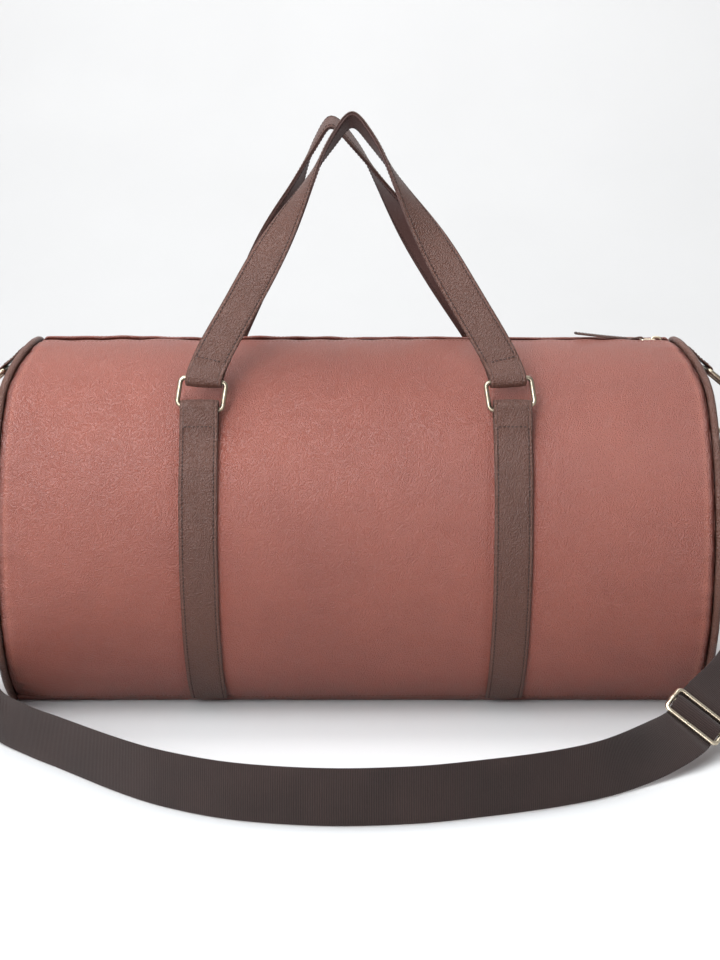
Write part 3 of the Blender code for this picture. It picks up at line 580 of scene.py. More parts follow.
# ---- shoulder strap -------------------------------------------------------------------
WEB_WIDTH = 0.038
WEB_THICK = 0.0014
HOOK_X = 0.310  # each hook's upright axis
EYE_Z = 0.1981  # lower bar of each swivel eye
EYE_WIRE = 0.0020
GAP = 0.0004
GLIDE_STOP = 22  # row of the route where the adjuster sits
GLIDE_HALF = 0.0115
GLIDE_REACH = 0.0213
GLIDE_DIP = 0.0031  # how far the webbing passes under the adjuster's outer bars
GLIDE_EASE = 0.010  # run over which it comes back up
FOLD_RUN = 0.030  # run over which the webbing's two layers part towards an eye
WRAP = EYE_WIRE + GAP + WEB_THICK / 2
LAYER = WEB_THICK + GAP
RIB = 0.0015  # from one rib of the webbing to the next
WEB_ROUTE = [
    # x, y, z of the strap's middle line, then its width direction
    (-0.3100, 0.0000, 0.1981, 1.00, 0.00, 0.00),
    (-0.3100, -0.0030, 0.1820, 1.00, 0.00, 0.00),
    (-0.3110, -0.0080, 0.1600, 1.00, 0.00, 0.00),
    (-0.3125, -0.0170, 0.1330, 0.99, 0.00, 0.08),
    (-0.3125, -0.0310, 0.1060, 0.95, 0.04, 0.25),
    (-0.3090, -0.0510, 0.0800, 0.86, 0.08, 0.45),
    (-0.3000, -0.0780, 0.0560, 0.68, 0.10, 0.70),
    (-0.2850, -0.1120, 0.0350, 0.40, 0.08, 0.90),
    (-0.2640, -0.1480, 0.0220, 0.12, 0.02, 0.99),
    (-0.2357, -0.1793, 0.0200, 0.00, 0.00, 1.00),
    (-0.2071, -0.2052, 0.0200, 0.00, 0.00, 1.00),
    (-0.1658, -0.2433, 0.0200, 0.00, 0.03, 1.00),
    (-0.1245, -0.2750, 0.0200, 0.00, 0.05, 1.00),
    (-0.0737, -0.2973, 0.0200, 0.00, 0.05, 1.00),
    (-0.0166, -0.3057, 0.0200, 0.00, 0.05, 1.00),
    (0.0363, -0.3026, 0.0200, 0.00, 0.05, 1.00),
    (0.0840, -0.2909, 0.0200, 0.00, 0.06, 1.00),
    (0.1263, -0.2761, 0.0200, -0.02, 0.08, 1.00),
    (0.1612, -0.2581, 0.0197, -0.10, 0.14, 0.98),
    (0.1898, -0.2348, 0.0195, -0.30, 0.22, 0.92),
    (0.2131, -0.2126, 0.0205, -0.60, 0.28, 0.74),
    (0.2328, -0.1923, 0.0232, -0.78, 0.30, 0.54),
    (0.2438, -0.1780, 0.0296, -0.78, 0.30, 0.54),
    (0.2548, -0.1637, 0.0360, -0.78, 0.30, 0.54),
    (0.2780, -0.1400, 0.0475, -0.84, 0.30, 0.44),
    (0.2960, -0.1120, 0.0590, -0.90, 0.28, 0.28),
    (0.3060, -0.0810, 0.0750, -0.96, 0.20, 0.14),
    (0.3110, -0.0540, 0.0960, -0.99, 0.08, 0.05),
    (0.3120, -0.0340, 0.1210, -1.00, 0.00, 0.00),
    (0.3115, -0.0180, 0.1480, -1.00, 0.00, 0.00),
    (0.3105, -0.0070, 0.1720, -1.00, 0.00, 0.00),
    (0.3100, -0.0020, 0.1860, -1.00, 0.00, 0.00),
    (0.3100, 0.0000, 0.1981, -1.00, 0.00, 0.00),
]


def web_rows():
    """Points, normals, width directions and distances along the strap's middle line."""
    table = np.array(WEB_ROUTE)
    line = curve_through(table[:, :3], 8)
    across = curve_through(table[:, 3:], 8)
    at = lengths_of(line)
    total, glide = at[-1], at[GLIDE_STOP * 8]
    distances = np.arange(0.004, total - 0.0039, RIB / 4)
    points = along_line(line, distances)
    _, normal, side = frames_of(points, along_line(line, distances, across))
    return line, points, normal, side, distances, glide, total


def front_lift(distance, glide, total):
    """Height of the webbing's main layer over its middle line."""
    from_end = np.minimum(distance, total - distance)
    from_glide = np.abs(distance - glide)
    lift = -GLIDE_DIP * (1 - smooth_step((from_glide - GLIDE_HALF) / GLIDE_EASE))
    inside = 0.00075 + 0.00385 * np.cos(pi * from_glide / GLIDE_HALF)
    lift = np.where(from_glide < GLIDE_HALF, inside, lift)
    return np.where(from_end < FOLD_RUN, WRAP * (1 - smooth_step(from_end / FOLD_RUN)), lift)


def back_lift(distance, glide, total):
    """Height of the layer folded back behind the main one."""
    from_end = np.minimum(distance, total - distance)
    near = 1 - smooth_step((distance - glide - GLIDE_HALF) / GLIDE_EASE)
    lift = np.where(distance - glide < FOLD_RUN, -LAYER - GLIDE_DIP * near, -LAYER)
    ends = -LAYER + (LAYER - WRAP) * (1 - smooth_step(from_end / FOLD_RUN))
    return np.where(from_end < FOLD_RUN, ends, lift)


def round_bar(x, side_x, first, last):
    """Points and width directions of the webbing round an eye's lower bar."""
    a = np.radians(np.linspace(last, first, 26))
    points = np.stack([np.full_like(a, x), np.cos(a) * WRAP, EYE_Z + np.sin(a) * WRAP], 1)
    return points, np.tile(vec(side_x, 0, 0), (len(a), 1))


def make_webbing():
    route, points, normal, side, distance, glide, total = web_rows()
    layer = points + normal * front_lift(distance, glide, total)[:, None]
    back = points + normal * back_lift(distance, glide, total)[:, None]
    near, far = distance <= 0.041, distance >= glide + GLIDE_HALF - 0.001
    left, left_side = round_bar(-HOOK_X, 1, 170, 10)
    right, right_side = round_bar(HOOK_X, -1, 10, 170)
    middle = int(np.abs(distance - glide).argmin())
    hub, rise, wide = points[middle], normal[middle], side[middle]
    on = np.cross(wide, rise)
    a = np.radians(np.linspace(290, 80, 24))[:, None]
    wrap_in = 0.0017 + GAP + WEB_THICK / 2
    end = hub + (on * np.cos(a) + rise * np.sin(a)) * wrap_in
    strip = np.vstack([back[near][::-1], left, layer, right, back[far][::-1], end])
    across = np.vstack([
        side[near][::-1], left_side, side, right_side, side[far][::-1], np.tile(wide, (len(end), 1)),
    ])
    line, across = even_strip(strip, across, RIB / 4, 4)
    at = lengths_of(line)
    rib = np.sin(2 * pi * at / RIB)
    half = WEB_WIDTH / 2
    shares = np.array([-1, -0.985, -0.94, -0.8, -0.6, -0.4, -0.2, 0, 0.2, 0.4, 0.6, 0.8, 0.94, 0.985, 1])
    thick = WEB_THICK / 2 * (1 - 0.55 * np.abs(shares) ** 24)
    top = np.stack([shares * half, thick], 1)
    profile = np.vstack([top, (top * vec(1, -1))[::-1]])
    curl = 0.0004 * np.sin(at / 0.031 + 0.7) + 0.0003 * np.sin(at / 0.0117)
    _, normal, across = frames_of(line, across)
    edge = 1 + 0.0085 * rib
    a = profile[None, :, 0] * edge[:, None]
    ribbed = 1 + 0.26 * rib[:, None] * (1 - 0.5 * np.abs(profile[None, :, 0] / half) ** 6)
    h = profile[None, :, 1] * ribbed + curl[:, None] * (profile[None, :, 0] / half) ** 2 * 0.5
    rings = line[:, None] + across[:, None] * a[..., None] + normal[:, None] * h[..., None]
    # shade dips in the troughs between the ribs: painted shade
    strap = piece(
        "shoulder_strap", loft(rings), WEBBING, "shoulder_webbing",
        shade=(np.ones_like(a) * (0.78 + 0.22 * rib[:, None])).ravel(),
    )
    for name, values in (("along", np.repeat(at, len(profile))), ("aside", a.ravel())):
        marks = strap.data.attributes.new(name, "FLOAT", "POINT")
        marks.data.foreach_set("value", values.astype(np.float32))
    sewn = []
    for where in (0.034, total - 0.034):
        k = int(np.abs(distance - where).argmin())
        up = normal_at(points, side, k)
        lift = front_lift(distance[k], glide, total) + WEB_THICK * 0.72
        for shift in (-0.0022, 0.0022):
            seat = points[k] + up * lift + unit(points[k + 1] - points[k - 1]) * shift
            row = seat + side[k] * np.linspace(-0.0165, 0.0165, 24)[:, None]
            sewn.append(stitches(row, np.tile(up, (24, 1)), 0.0028, 0.0021, 0.0004))
    piece("shoulder_strap_stitches", joined(sewn), THREAD)
    return strap, route, hub, on, wide


def normal_at(points, side, k):
    ahead = unit(points[k + 1] - points[k - 1])
    return unit(np.cross(ahead, side[k]))


def make_glide(hub, on, wide):
    """The adjuster: a square wire frame and its middle bar, brazed to the frame at both ends."""
    corners = [
        hub - on * GLIDE_HALF - wide * GLIDE_REACH,
        hub - on * GLIDE_HALF + wide * GLIDE_REACH,
        hub + on * GLIDE_HALF + wide * GLIDE_REACH,
        hub + on * GLIDE_HALF - wide * GLIDE_REACH,
    ]
    shape = tube(rounded(corners, 0.0035, 8, 10), 0.0017, 18, closed=True)
    bar = tube(np.linspace(hub - wide * GLIDE_REACH, hub + wide * GLIDE_REACH, 12), 0.0015, 16)
    beads = []
    for end in (-1, 1):
        seat = hub + wide * GLIDE_REACH * end
        profile = [(0.0004, -0.0026), (0.0019, -0.0022), (0.0022, 0), (0.0019, 0.0022), (0.0004, 0.0026)]
        beads.append(turned(profile, seat, on, 20))
    return piece("strap_adjuster", joined([shape, bar, *beads]), LIGHT_BRASS, "tri_glide")


strap, strap_route, glide_hub, glide_on, glide_wide = make_webbing()
adjuster = make_glide(glide_hub, glide_on, glide_wide)

# ---- hooks and D-rings ----------------------------------------------------------------
TAB_START = vec(0.2632, 0, 0.2776)  # where the tab leaves the end seam
TAB_BAR = vec(0.2800, 0, 0.2600)
CLIP = vec(0.3083, 0, 0.2371)  # lowest wire of the D-ring, inside the hook
D_WIRE = 0.0019
D_HALF = 0.0150
HOOK_WIRE = 0.0025
HOOK_BEND = 0.0072
EYE_HALF = 0.0225
EYE_HEIGHT = 0.0120
COLLAR_LOW = 0.2131
COLLAR_TOP = 0.2201
BEND_Z = 0.2371
NOSE_Z = 0.2328
GATE_LOW = 0.2212
GATE_TOP = 0.2324


def mirrored(points, side):
    return np.asarray(points) * vec(side, 1, 1)


def make_d_ring(name, side):
    fall = CLIP - TAB_BAR
    reach = np.linalg.norm(fall) - D_HALF
    down, y, corner = unit(fall), vec(0, 1, 0), 0.003
    line = [TAB_BAR + y * t for t in np.linspace(-(D_HALF - corner), D_HALF - corner, 10)]
    for a in np.linspace(0, pi / 2, 7)[1:-1]:
        line.append(TAB_BAR + y * (D_HALF - corner + corner * sin(a)) + down * corner * (1 - cos(a)))
    line.append(TAB_BAR + y * D_HALF + down * corner)
    for a in np.linspace(0, pi, 36):
        line.append(TAB_BAR + down * reach + (y * cos(a) + down * sin(a)) * D_HALF)
    line.append(TAB_BAR - y * D_HALF + down * corner)
    for a in np.linspace(pi / 2, 0, 7)[1:-1]:
        line.append(TAB_BAR - y * (D_HALF - corner + corner * sin(a)) + down * corner * (1 - cos(a)))
    piece(
        "end_ring_" + name, tube(mirrored(line, side), D_WIRE, 18, closed=True), DARK_BRASS,
        "d_ring_" + name, body=name + "_d_ring",
    )


def make_tab(name, side):
    """The leather tab that holds the D-ring, folded round its bar and sewn."""
    away = unit(TAB_BAR - TAB_START)
    out = vec(-away[2], 0, away[0])
    thick = 0.0015
    radius = D_WIRE + GAP + thick / 2
    line = [TAB_START - out * (thick / 2 + GAP / 2), TAB_START + away * 0.012 - out * 0.0012]
    for a in np.radians(np.linspace(-80, 80, 20)):
        line.append(TAB_BAR + (away * cos(a) + out * sin(a)) * radius)
    line += [TAB_START + away * 0.012 + out * 0.0012, TAB_START + out * (thick / 2 + GAP / 2)]
    line = mirrored(line, side)
    rows, across = even_strip(line, np.tile(vec(0, 1, 0), (len(line), 1)), 0.0006, 2)
    shape = swept(rows, across, strap_profile(0.024, thick, 0.0001, 0.0002, 0.0026, both=True))
    piece("end_tab_" + name, shape, BROWN, "d_ring_tab_" + name)
    seams = []
    _, normal, _ = frames_of(rows, across)
    outward = 1 if (normal[-1] * mirrored(out, side)).sum() > 0 else -1
    lift = rows + normal * outward * (thick / 2 + 0.0001)
    keep = slice(int(len(rows) * 0.62), len(rows) - 3)
    for offset in (-0.0094, 0.0094):
        seams.append(stitches(lift[keep] + across[keep] * offset, normal[keep] * outward))
    k = int(len(rows) * 0.66)
    cross = lift[k] + vec(0, 1, 0) * np.linspace(-0.0094, 0.0094, 12)[:, None]
    seams.append(stitches(cross, np.tile(normal[k] * outward, (12, 1))))
    piece("end_tab_stitches_" + name, joined(seams), THREAD)


def make_hook(name, side):
    """A swivel eye with its post, the hook on its collar, and the sprung gate."""
    x = side * HOOK_X
    corners = [
        vec(x - EYE_HALF, 0, EYE_Z),
        vec(x + EYE_HALF, 0, EYE_Z),
        vec(x + EYE_HALF, 0, EYE_Z + EYE_HEIGHT),
        vec(x - EYE_HALF, 0, EYE_Z + EYE_HEIGHT),
    ]
    eye = tube(rounded(corners, 0.004, 8, 8), EYE_WIRE, 18, closed=True)
    low = EYE_Z + EYE_HEIGHT
    head = COLLAR_TOP - low
    post = turned(
        [
            (0.0021, 0), (0.0031, 0.0010), (0.0031, 0.0021), (0.0022, 0.0027), (0.0022, head + 0.0005),
            (0.0033, head + 0.0006), (0.0034, head + 0.0014), (0.0022, head + 0.0022),
        ],
        vec(x, 0, low), sides=32,
    )
    piece(
        "swivel_eye_" + name, joined([eye, post]), DARK_BRASS, "hook_eye_" + name,
    )
    height = COLLAR_TOP - COLLAR_LOW
    collar = turned(
        [
            (0.0028, 0), (0.0060, 0), (0.0068, 0.0006), (0.0070, 0.0014), (0.0066, 0.0019), (0.0070, 0.0024),
            (0.0070, height - 0.0024), (0.0066, height - 0.0019), (0.0070, height - 0.0014),
            (0.0064, height - 0.0003),
            (0.0056, height), (0.0028, height), (0.0028, height * 0.5), (0.0028, 0.0001),
        ],
        vec(x, 0, COLLAR_LOW), sides=44,
    )
    bend = [vec(HOOK_X - HOOK_BEND, 0, z) for z in np.linspace(COLLAR_TOP - 0.004, 0.2361, 8)]
    for a in np.linspace(pi, 0, 30):
        bend.append(vec(HOOK_X + HOOK_BEND * cos(a), 0, BEND_Z + HOOK_BEND * sin(a)))
    bend += [vec(HOOK_X + HOOK_BEND, 0, z) for z in np.linspace(BEND_Z - 0.001, NOSE_Z, 5)]
    share = np.linspace(0, 1, len(bend))
    radius = HOOK_WIRE * (1.08 - 0.14 * share)
    radius[-1] *= 0.8
    radius[0] *= 0.9
    hook = tube(mirrored(bend, side), radius, 20)
    piece(
        "snap_hook_" + name, joined([collar, hook]), DARK_BRASS, "hook_" + name,
        body=name + "_hook",
    )
    gate_x = side * (HOOK_X + HOOK_BEND)
    tall = GATE_TOP - GATE_LOW
    gate = turned(
        [
            (0.0009, 0), (0.0017, 0.0003), (0.0018, 0.0010), (0.0018, 0.0046), (0.0022, 0.0050),
            (0.0022, 0.0060),
            (0.0018, 0.0064), (0.0018, tall - 0.0006), (0.0012, tall),
        ],
        vec(gate_x, 0, GATE_LOW), sides=24,
    )
    pin = turned(
        [(0.0004, -0.0021), (0.0009, -0.0020), (0.0009, 0.0020), (0.0004, 0.0021)],
        vec(gate_x, 0, GATE_LOW + 0.0010), (0, 1, 0), 14,
    )
    piece(
        "snap_gate_" + name, joined([gate, pin]), DARK_BRASS, "hook_gate_" + name,
        body=name + "_gate",
    )


for name, side in SIDES.items():
    make_d_ring(name, side)
    make_tab(name, side)
    make_hook(name, side)

# ---- the bag's section ----------------------------------------------------------------
HALF_DEPTH = 0.125
TOP = 0.2836
WIDEST_Z = 0.138  # height at which the section is deepest
UNDER = 0.013  # how far the rounded section would pass below the floor
END_MID = 0.263  # half length over most of the height
END_FLARE = 0.006  # how much longer each half is at the base
END_TUCK = 0.012  # how much shorter each half is at the zipper
TUCK_FROM = 0.86  # share of the height at which that begins
SKIN = 0.0022
BASE_SEAM = 151  # degrees round the section, from the top, where front meets base
STRAP_X = 0.1160  # middle of each body strap
STRAP_WIDTH = 0.0285
FIRST = 3.5  # degrees at the zipper edge


def section(degrees, inset=0.0, floor=0.0):
    """y and z on the front half of the section, 0 at the top and 180 under the middle."""
    a = np.radians(degrees)
    rise = np.where(np.asarray(degrees) <= 90, TOP - WIDEST_Z, WIDEST_Z + UNDER)
    y = -HALF_DEPTH * np.sin(a)
    z = WIDEST_Z + rise * np.cos(a)
    away_y, away_z = -np.sin(a) * rise, np.cos(a) * HALF_DEPTH
    size = np.hypot(away_y, away_z)
    return y - away_y / size * inset, np.maximum(z - away_z / size * inset, floor)


def end_x(z):
    """Half the bag's length at this height."""
    share = z / TOP
    tuck = END_TUCK * (np.maximum(0.0, share - TUCK_FROM) / (1 - TUCK_FROM)) ** 2
    return END_MID + END_FLARE * np.maximum(0.0, 1 - share) ** 2 - tuck


CREASES = [
    # x and z of the two ends, depth, half width, for the front
    (-0.2330, 0.2070, -0.2120, 0.1975, 0.00060, 0.0011),
    (-0.2290, 0.2020, -0.2090, 0.1930, 0.00055, 0.0010),
    (-0.2240, 0.1985, -0.2130, 0.1930, 0.00045, 0.0011),
    (-0.2400, 0.2150, -0.2300, 0.2090, 0.00035, 0.0013),
    (0.2360, 0.2120, 0.2110, 0.2020, 0.00035, 0.0014),
    (0.2380, 0.1980, 0.2170, 0.1920, 0.00030, 0.0013),
]


def relief(side, x, degrees, z):
    """How far the leather stands off the plain section, in metres."""
    s = np.radians(degrees) * 0.13
    from_end = end_x(z) - np.abs(x)
    from_strap = np.abs(np.abs(x) - STRAP_X)
    free = 1 - np.exp(-((from_strap / 0.022) ** 4))
    clear = 1 - np.exp(-((from_strap / 0.016) ** 6))
    seed = 3 if side < 0 else 8
    billow = 0.0011 * free * (0.6 + 0.5 * waves(seed, x * 9, s * 7))
    ripple = 0.00035 * free * waves(seed + 1, x * 34, s * 9)
    press = -0.0007 * np.exp(-(((from_strap - 0.0155) / 0.0035) ** 2)) * smooth_step((degrees - 48) / 14)
    pucker = 0.00060 * np.exp(-from_end / 0.0095) * waves(seed + 2, s * 360, x * 0.2)
    pull = 0.00030 * np.exp(-from_end / 0.030) * waves(seed + 3, s * 130, x * 20)
    base = 0.00045 * np.exp(-(BASE_SEAM - degrees) * 0.0023 / 0.006) * waves(seed + 4, x * 330) * clear
    zip_edge = 0.00040 * np.exp(-(degrees - FIRST) * 0.0023 / 0.010) * waves(seed + 5, x * 150)
    corner = -0.0035 * smooth_step((0.030 - from_end) / 0.030) * smooth_step((degrees - 118) / 25)
    total = billow + ripple + press + pucker + pull + base + zip_edge + corner
    if side < 0:
        for x1, z1, x2, z2, depth, width in CREASES:
            d = vec(x2 - x1, z2 - z1)
            size = np.linalg.norm(d)
            t = ((x - x1) * d[0] + (z - z1) * d[1]) / size**2
            t_in = np.clip(t, 0, 1)
            bow = 0.0009 * np.sin(t_in * pi)
            away = ((x - x1) * -d[1] + (z - z1) * d[0]) / size - bow
            off = np.hypot(away, (t - t_in) * size)
            fade = np.sin(np.clip(t, 0, 1) * pi) ** 0.7
            total -= depth * np.exp(-((off / width) ** 2)) * fade
            total += 0.5 * depth * np.exp(-(((off - 2.1 * width) / (1.2 * width)) ** 2)) * fade
    return total


def zip_ridge(degrees):
    """How far the back panel's edge stands up beside the zipper."""
    return 0.0011 * np.exp(-(((degrees - FIRST) / 7.0) ** 2))


def body_point(side, x_share, degrees, lift=0.0):
    """Points on the leather of the front (-1) or back (1): share of the half length, section angle."""
    _, z = section(degrees)
    x = x_share * end_x(z)
    out = relief(side, x, degrees, z) + lift
    y2, z2 = section(degrees, inset=-out)
    return np.stack([x * np.ones_like(y2), y2 * -side, z2], -1)


def make_side_panel(name, side):
    """Front or back: one skin with a rolled edge at the zipper, turned in at both end seams."""
    columns = 372
    rows = 226
    shares = np.linspace(-1, 1, columns)
    shares = np.sign(shares) * (1 - (1 - np.abs(shares)) ** 1.12)
    angles = FIRST + (BASE_SEAM - FIRST) * np.linspace(0, 1, rows) ** 1.02
    u, a = np.meshgrid(shares, angles, indexing="ij")
    outer = body_point(side, u, a)
    from_end = (1 - np.abs(u)) * 0.25
    turn_in = np.clip(1 - from_end / 0.0032, 0, 1) ** 2 * 0.0030
    y, z = section(a, inset=0.0)
    y_in, z_in = section(a, inset=1.0)
    inward = np.stack([0 * y, (y_in - y) * -side, np.where(z > 0.004, z_in - z, 0)], -1)
    outer = outer + unit(inward) * turn_in[..., None]
    if side > 0:
        outer[..., 2] += zip_ridge(a)
    first, second = outer[:, 0], outer[:, 1]
    back = unit(first - second)
    down = vec(0, 0, -1)
    r = SKIN / 2
    roll = [first + back * r * sin(t) + down * r * (1 - cos(t)) for t in np.linspace(0, pi, 8)[1:]]
    inner_angles = np.linspace(FIRST + 0.6, BASE_SEAM, 18)
    ui, ai = np.meshgrid(shares, inner_angles, indexing="ij")
    yi, zi = section(ai, inset=SKIN)
    xi = ui * end_x(zi)
    inner = np.stack([xi, yi * -side, zi], -1)
    roll = np.stack(roll[::-1], axis=1)
    rings = np.concatenate([inner[:, ::-1], roll, outer], axis=1)
    # Painted shade: darker towards the end seams and the base seam, on the hidden inner face and on the
    # rolled edge at the zipper; a lighter band just outside the darkened end seam is a painted highlight.
    seam = np.clip((from_end - 0.0012) / 0.004, 0, 1)
    low = np.clip((BASE_SEAM - a) / 2.0, 0, 1)
    dark = 0.25 + 0.75 * seam * (0.3 + 0.7 * low)
    rim_highlight = np.exp(-((from_end - 0.0055) / 0.0022) ** 2) * 0.30
    dark = dark + rim_highlight * (dark > 0.9)
    shade = np.concatenate([np.full(inner.shape[:2], 0.4), np.full(roll.shape[:2], 0.7), dark], axis=1)
    piece(name, loft(rings), TAN, name.replace("_skin", ""), shade=shade.ravel())


def make_base():
    """The base turns up a little at the front and back to meet the side panels."""
    columns, per_side = 220, 40
    shares = np.linspace(-1, 1, columns)
    half = BASE_SEAM + 0.35 + (180 - BASE_SEAM - 0.35) * np.linspace(0, 1, per_side)
    u, a = np.meshgrid(shares, half, indexing="ij")
    _, z = section(a)
    x = u * end_x(z)
    from_seam = (a - BASE_SEAM) * 0.0023
    tuck = 0.0009 * np.exp(-from_seam / 0.0018)
    pucker = 0.0003 * np.exp(-from_seam / 0.006) * waves(21, x * 330)
    y2, z2 = section(a, inset=tuck - np.maximum(pucker, 0) * 0.8)
    z2 = np.maximum(z2, 0.0)
    front = np.stack([x, y2, z2], -1)
    back = front[:, ::-1][:, 1:] * vec(1, -1, 1)
    outer = np.concatenate([front, back], axis=1)
    yi, zi = section(a, inset=SKIN, floor=SKIN)
    inner_front = np.stack([u * end_x(zi), yi, zi], -1)[:, ::3]
    inner = np.concatenate([inner_front, inner_front[:, ::-1][:, 1:] * vec(1, -1, 1)], axis=1)
    rings = np.concatenate([outer, inner[:, ::-1]], axis=1)
    # Painted shade: darker towards both base seams and on the hidden inner face.
    edge = np.minimum(from_seam, 0.02)
    dark = 0.22 + 0.78 * np.clip(edge / 0.0035, 0, 1)
    shade = np.concatenate([dark, dark[:, ::-1][:, 1:], np.full(inner.shape[:2], 0.4)], axis=1)
    piece("base_skin", loft(rings), TAN, "base_panel", shade=shade.ravel())


def outline(inset, floor, count):
    """Closed rows of y and z round the section."""
    half = np.linspace(0, 180, count // 2 + 1)
    y, z = section(half, inset, floor)
    front = np.stack([y, z], 1)
    return np.vstack([front, front[-2:0:-1] * vec(-1, 1)])


def make_end(name, side):
    """A domed end with puckers at its rim, and the rolled piping round it."""
    around = outline(0.0009, 0.0034, 300)
    path = np.stack([side * (end_x(around[:, 1]) + 0.0034), around[:, 0], around[:, 1]], 1)
    at = np.linspace(0, 2 * pi, len(path), endpoint=False)
    plump = 0.0030 * (1 + 0.035 * waves(31, at * 26) + 0.02 * waves(32, at * 71))
    shape = tube(path, plump, 20, closed=True)
    count = len(shape[0]) // len(path)
    local = shape[0].reshape(len(path), count, 3)
    inward = unit(path - path.mean(0))
    height = ((local - path[:, None]) * inward[:, None]).sum(-1) / 0.003
    # painted shade on the piping's sides and inner face where it meets the panels, a painted highlight along
    # its outer crest
    shade = np.clip(0.55 + 0.75 * height, 0.12, 1.25)
    piece("end_piping_" + name, shape, BROWN, "piping_" + name, shade=shade.ravel())
    rim_base = outline(0.0040, 0.0052, 240)
    rings = []
    angle = np.linspace(0, 2 * pi, len(rim_base), endpoint=False)
    levels = [1.012, 1.018, 1.02, 1.014, 1.0, 0.985, 0.965, 0.94, 0.91, 0.87, 0.82, 0.76, 0.69]
    levels += [0.61, 0.52, 0.42, 0.32, 0.22, 0.12, 0.05]
    bulges = [-0.0004, 0.0004, 0.0014, 0.0024, 0.0032]
    for k, share in enumerate(levels):
        y = rim_base[:, 0] * share
        z = WIDEST_Z + (rim_base[:, 1] - WIDEST_Z) * share
        z = np.maximum(z, 0.0046)
        dome = 0.0150 * (1 - min(share, 1.0) ** 2.5)
        start = bulges[k] if k < len(bulges) else 0.0032 + dome * 0.86
        ease = np.exp(-(1 - min(share, 1.0)) / 0.05)
        wrinkle = 0.00055 * ease * waves(33 + side, angle * 60)
        wrinkle += 0.0008 * (share < 0.95) * waves(36, y * 26, z * 26)
        x = side * (end_x(z) + 0.0024 + start + wrinkle)
        rings.append(np.stack([x, y, z], 1))
    rings = np.array(rings)
    # painted shade on the rings tucked under the piping, a painted highlight on the rim just inside them,
    # painted shade on the hidden inner face
    dark = np.array([0.15, 0.25, 0.5, 0.85, 1.0, 1.15] + [1.0] * (len(levels) - 6))
    shade = np.repeat(dark, rings.shape[1])
    inner = rings[::-1] - vec(side * SKIN, 0, 0)
    inner = inner[::4]
    rings = np.concatenate([rings[::-1], inner[::-1]])
    shade = np.concatenate([shade[::-1], np.full(inner.shape[0] * inner.shape[1], 0.4)])
    piece("end_skin_" + name, loft(rings), TAN, "end_panel_" + name, shade=shade)


for name, side in FACES.items():
    make_side_panel(name + "_panel_skin", side)
make_base()
for name, side in SIDES.items():
    make_end(name, side)

# ---- lining ---------------------------------------------------------------------------


def make_lining():
    """A cloth tube with loose folds, open along the zipper, and its two closing pieces."""
    inset, floor, reach = 0.0056, 0.0062, END_MID - END_TUCK - 0.0045
    half = np.linspace(10, 180, 60)
    y, z = section(half, inset, floor)
    ring = np.vstack([np.stack([y, z], 1), np.stack([-y, z], 1)[::-1][1:]])
    xs = np.linspace(-reach, reach, 150)
    at = np.linspace(0, 1, len(ring))
    u, s = np.meshgrid(xs, at, indexing="ij")
    middle = vec(0, WIDEST_Z)
    fold = 0.0010 * (1 + waves(51, u * 50, s * 14)) * np.where(ring[:, 1] > 0.012, 1.0, 0.0)[None, :]
    into = unit(middle - ring)
    yz = ring[None] + into[None] * fold[..., None]
    outer = np.concatenate([u[..., None], yz], -1)
    inner = outer[:, ::-1] + np.concatenate([np.zeros((len(ring), 1)), into], 1)[::-1][None] * 0.0007
    piece("lining_cloth", loft(np.concatenate([outer, inner], 1)), LINING, "lining")
    for name, side in SIDES.items():
        rim = outline(inset + 0.0002, floor, 96)
        rings = []
        for share in (1, 0.9, 0.75, 0.55, 0.3, 0.08):
            y = rim[:, 0] * share
            z = WIDEST_Z + (rim[:, 1] - WIDEST_Z) * share
            x = side * (reach + GAP + 0.0006 + 0.0009 * (1 - share) * (1 + waves(54, y * 60, z * 60)))
            rings.append(np.stack([x, y, z], 1))
        rings = np.array(rings)
        both = np.concatenate([rings[::-1], rings - vec(side * 0.0007, 0, 0)])
        piece("lining_end_cloth_" + name, loft(both), LINING, "lining_end_" + name)


make_lining()

# ---- rings, body straps and handles ---------------------------------------------------
STRAP_THICK = 0.0018
RING_WIRE = 0.00175
RING_HALF = 0.0170
RING_HEIGHT = 0.0205
RING_CORNER = 0.0035
RING_TILT = 7.5  # degrees, the inner side lower
RING_LEAN = 15  # degrees back over the bag
RING_Y = 0.098
RING_Z = 0.2416
LOOP_RADIUS = 0.0050
SEAM_Z = 0.2285  # height of the sewn line under each ring's loop
HANDLE_WIDTH = 0.027
HANDLE_THICK = 0.0014
HANDLE_X = 0.1130
HANDLE_RISE = 0.206  # from the ring's upper bar to the apex
HANDLE_LEAN = 21  # degrees
HANDLE_APEX_X = {"front": -0.003, "back": -0.020}


def lean_of(side):
    """The direction up a ring, which leans back over the bag."""
    return vec(0, -side * sin(radians(RING_LEAN)), cos(radians(RING_LEAN)))


def ring_bars(side, end):
    """Middles of a ring's lower and upper bar."""
    lower = vec(end * STRAP_X, side * RING_Y, RING_Z)
    return lower, lower + lean_of(side) * RING_HEIGHT + vec(end * (HANDLE_X - STRAP_X), 0, 0)


def bar_across(side, end, tilt):
    turn = radians(tilt) * end
    return unit(vec(1, 0, 0) * cos(turn) + lean_of(side) * sin(turn))


def make_ring(name, side, end, body):
    lower, upper = ring_bars(side, end)
    across = bar_across(side, end, RING_TILT) * RING_HALF
    corners = [lower - across, lower + across, upper + across, upper - across]
    shape = tube(rounded(corners, RING_CORNER, 9, 8), RING_WIRE, 20, closed=True)
    piece("carry_ring_" + name, shape, DARK_BRASS, "ring_" + name, body=body)


def on_strip(rows, normal, across, lift, offset):
    return rows + normal * lift + across * offset


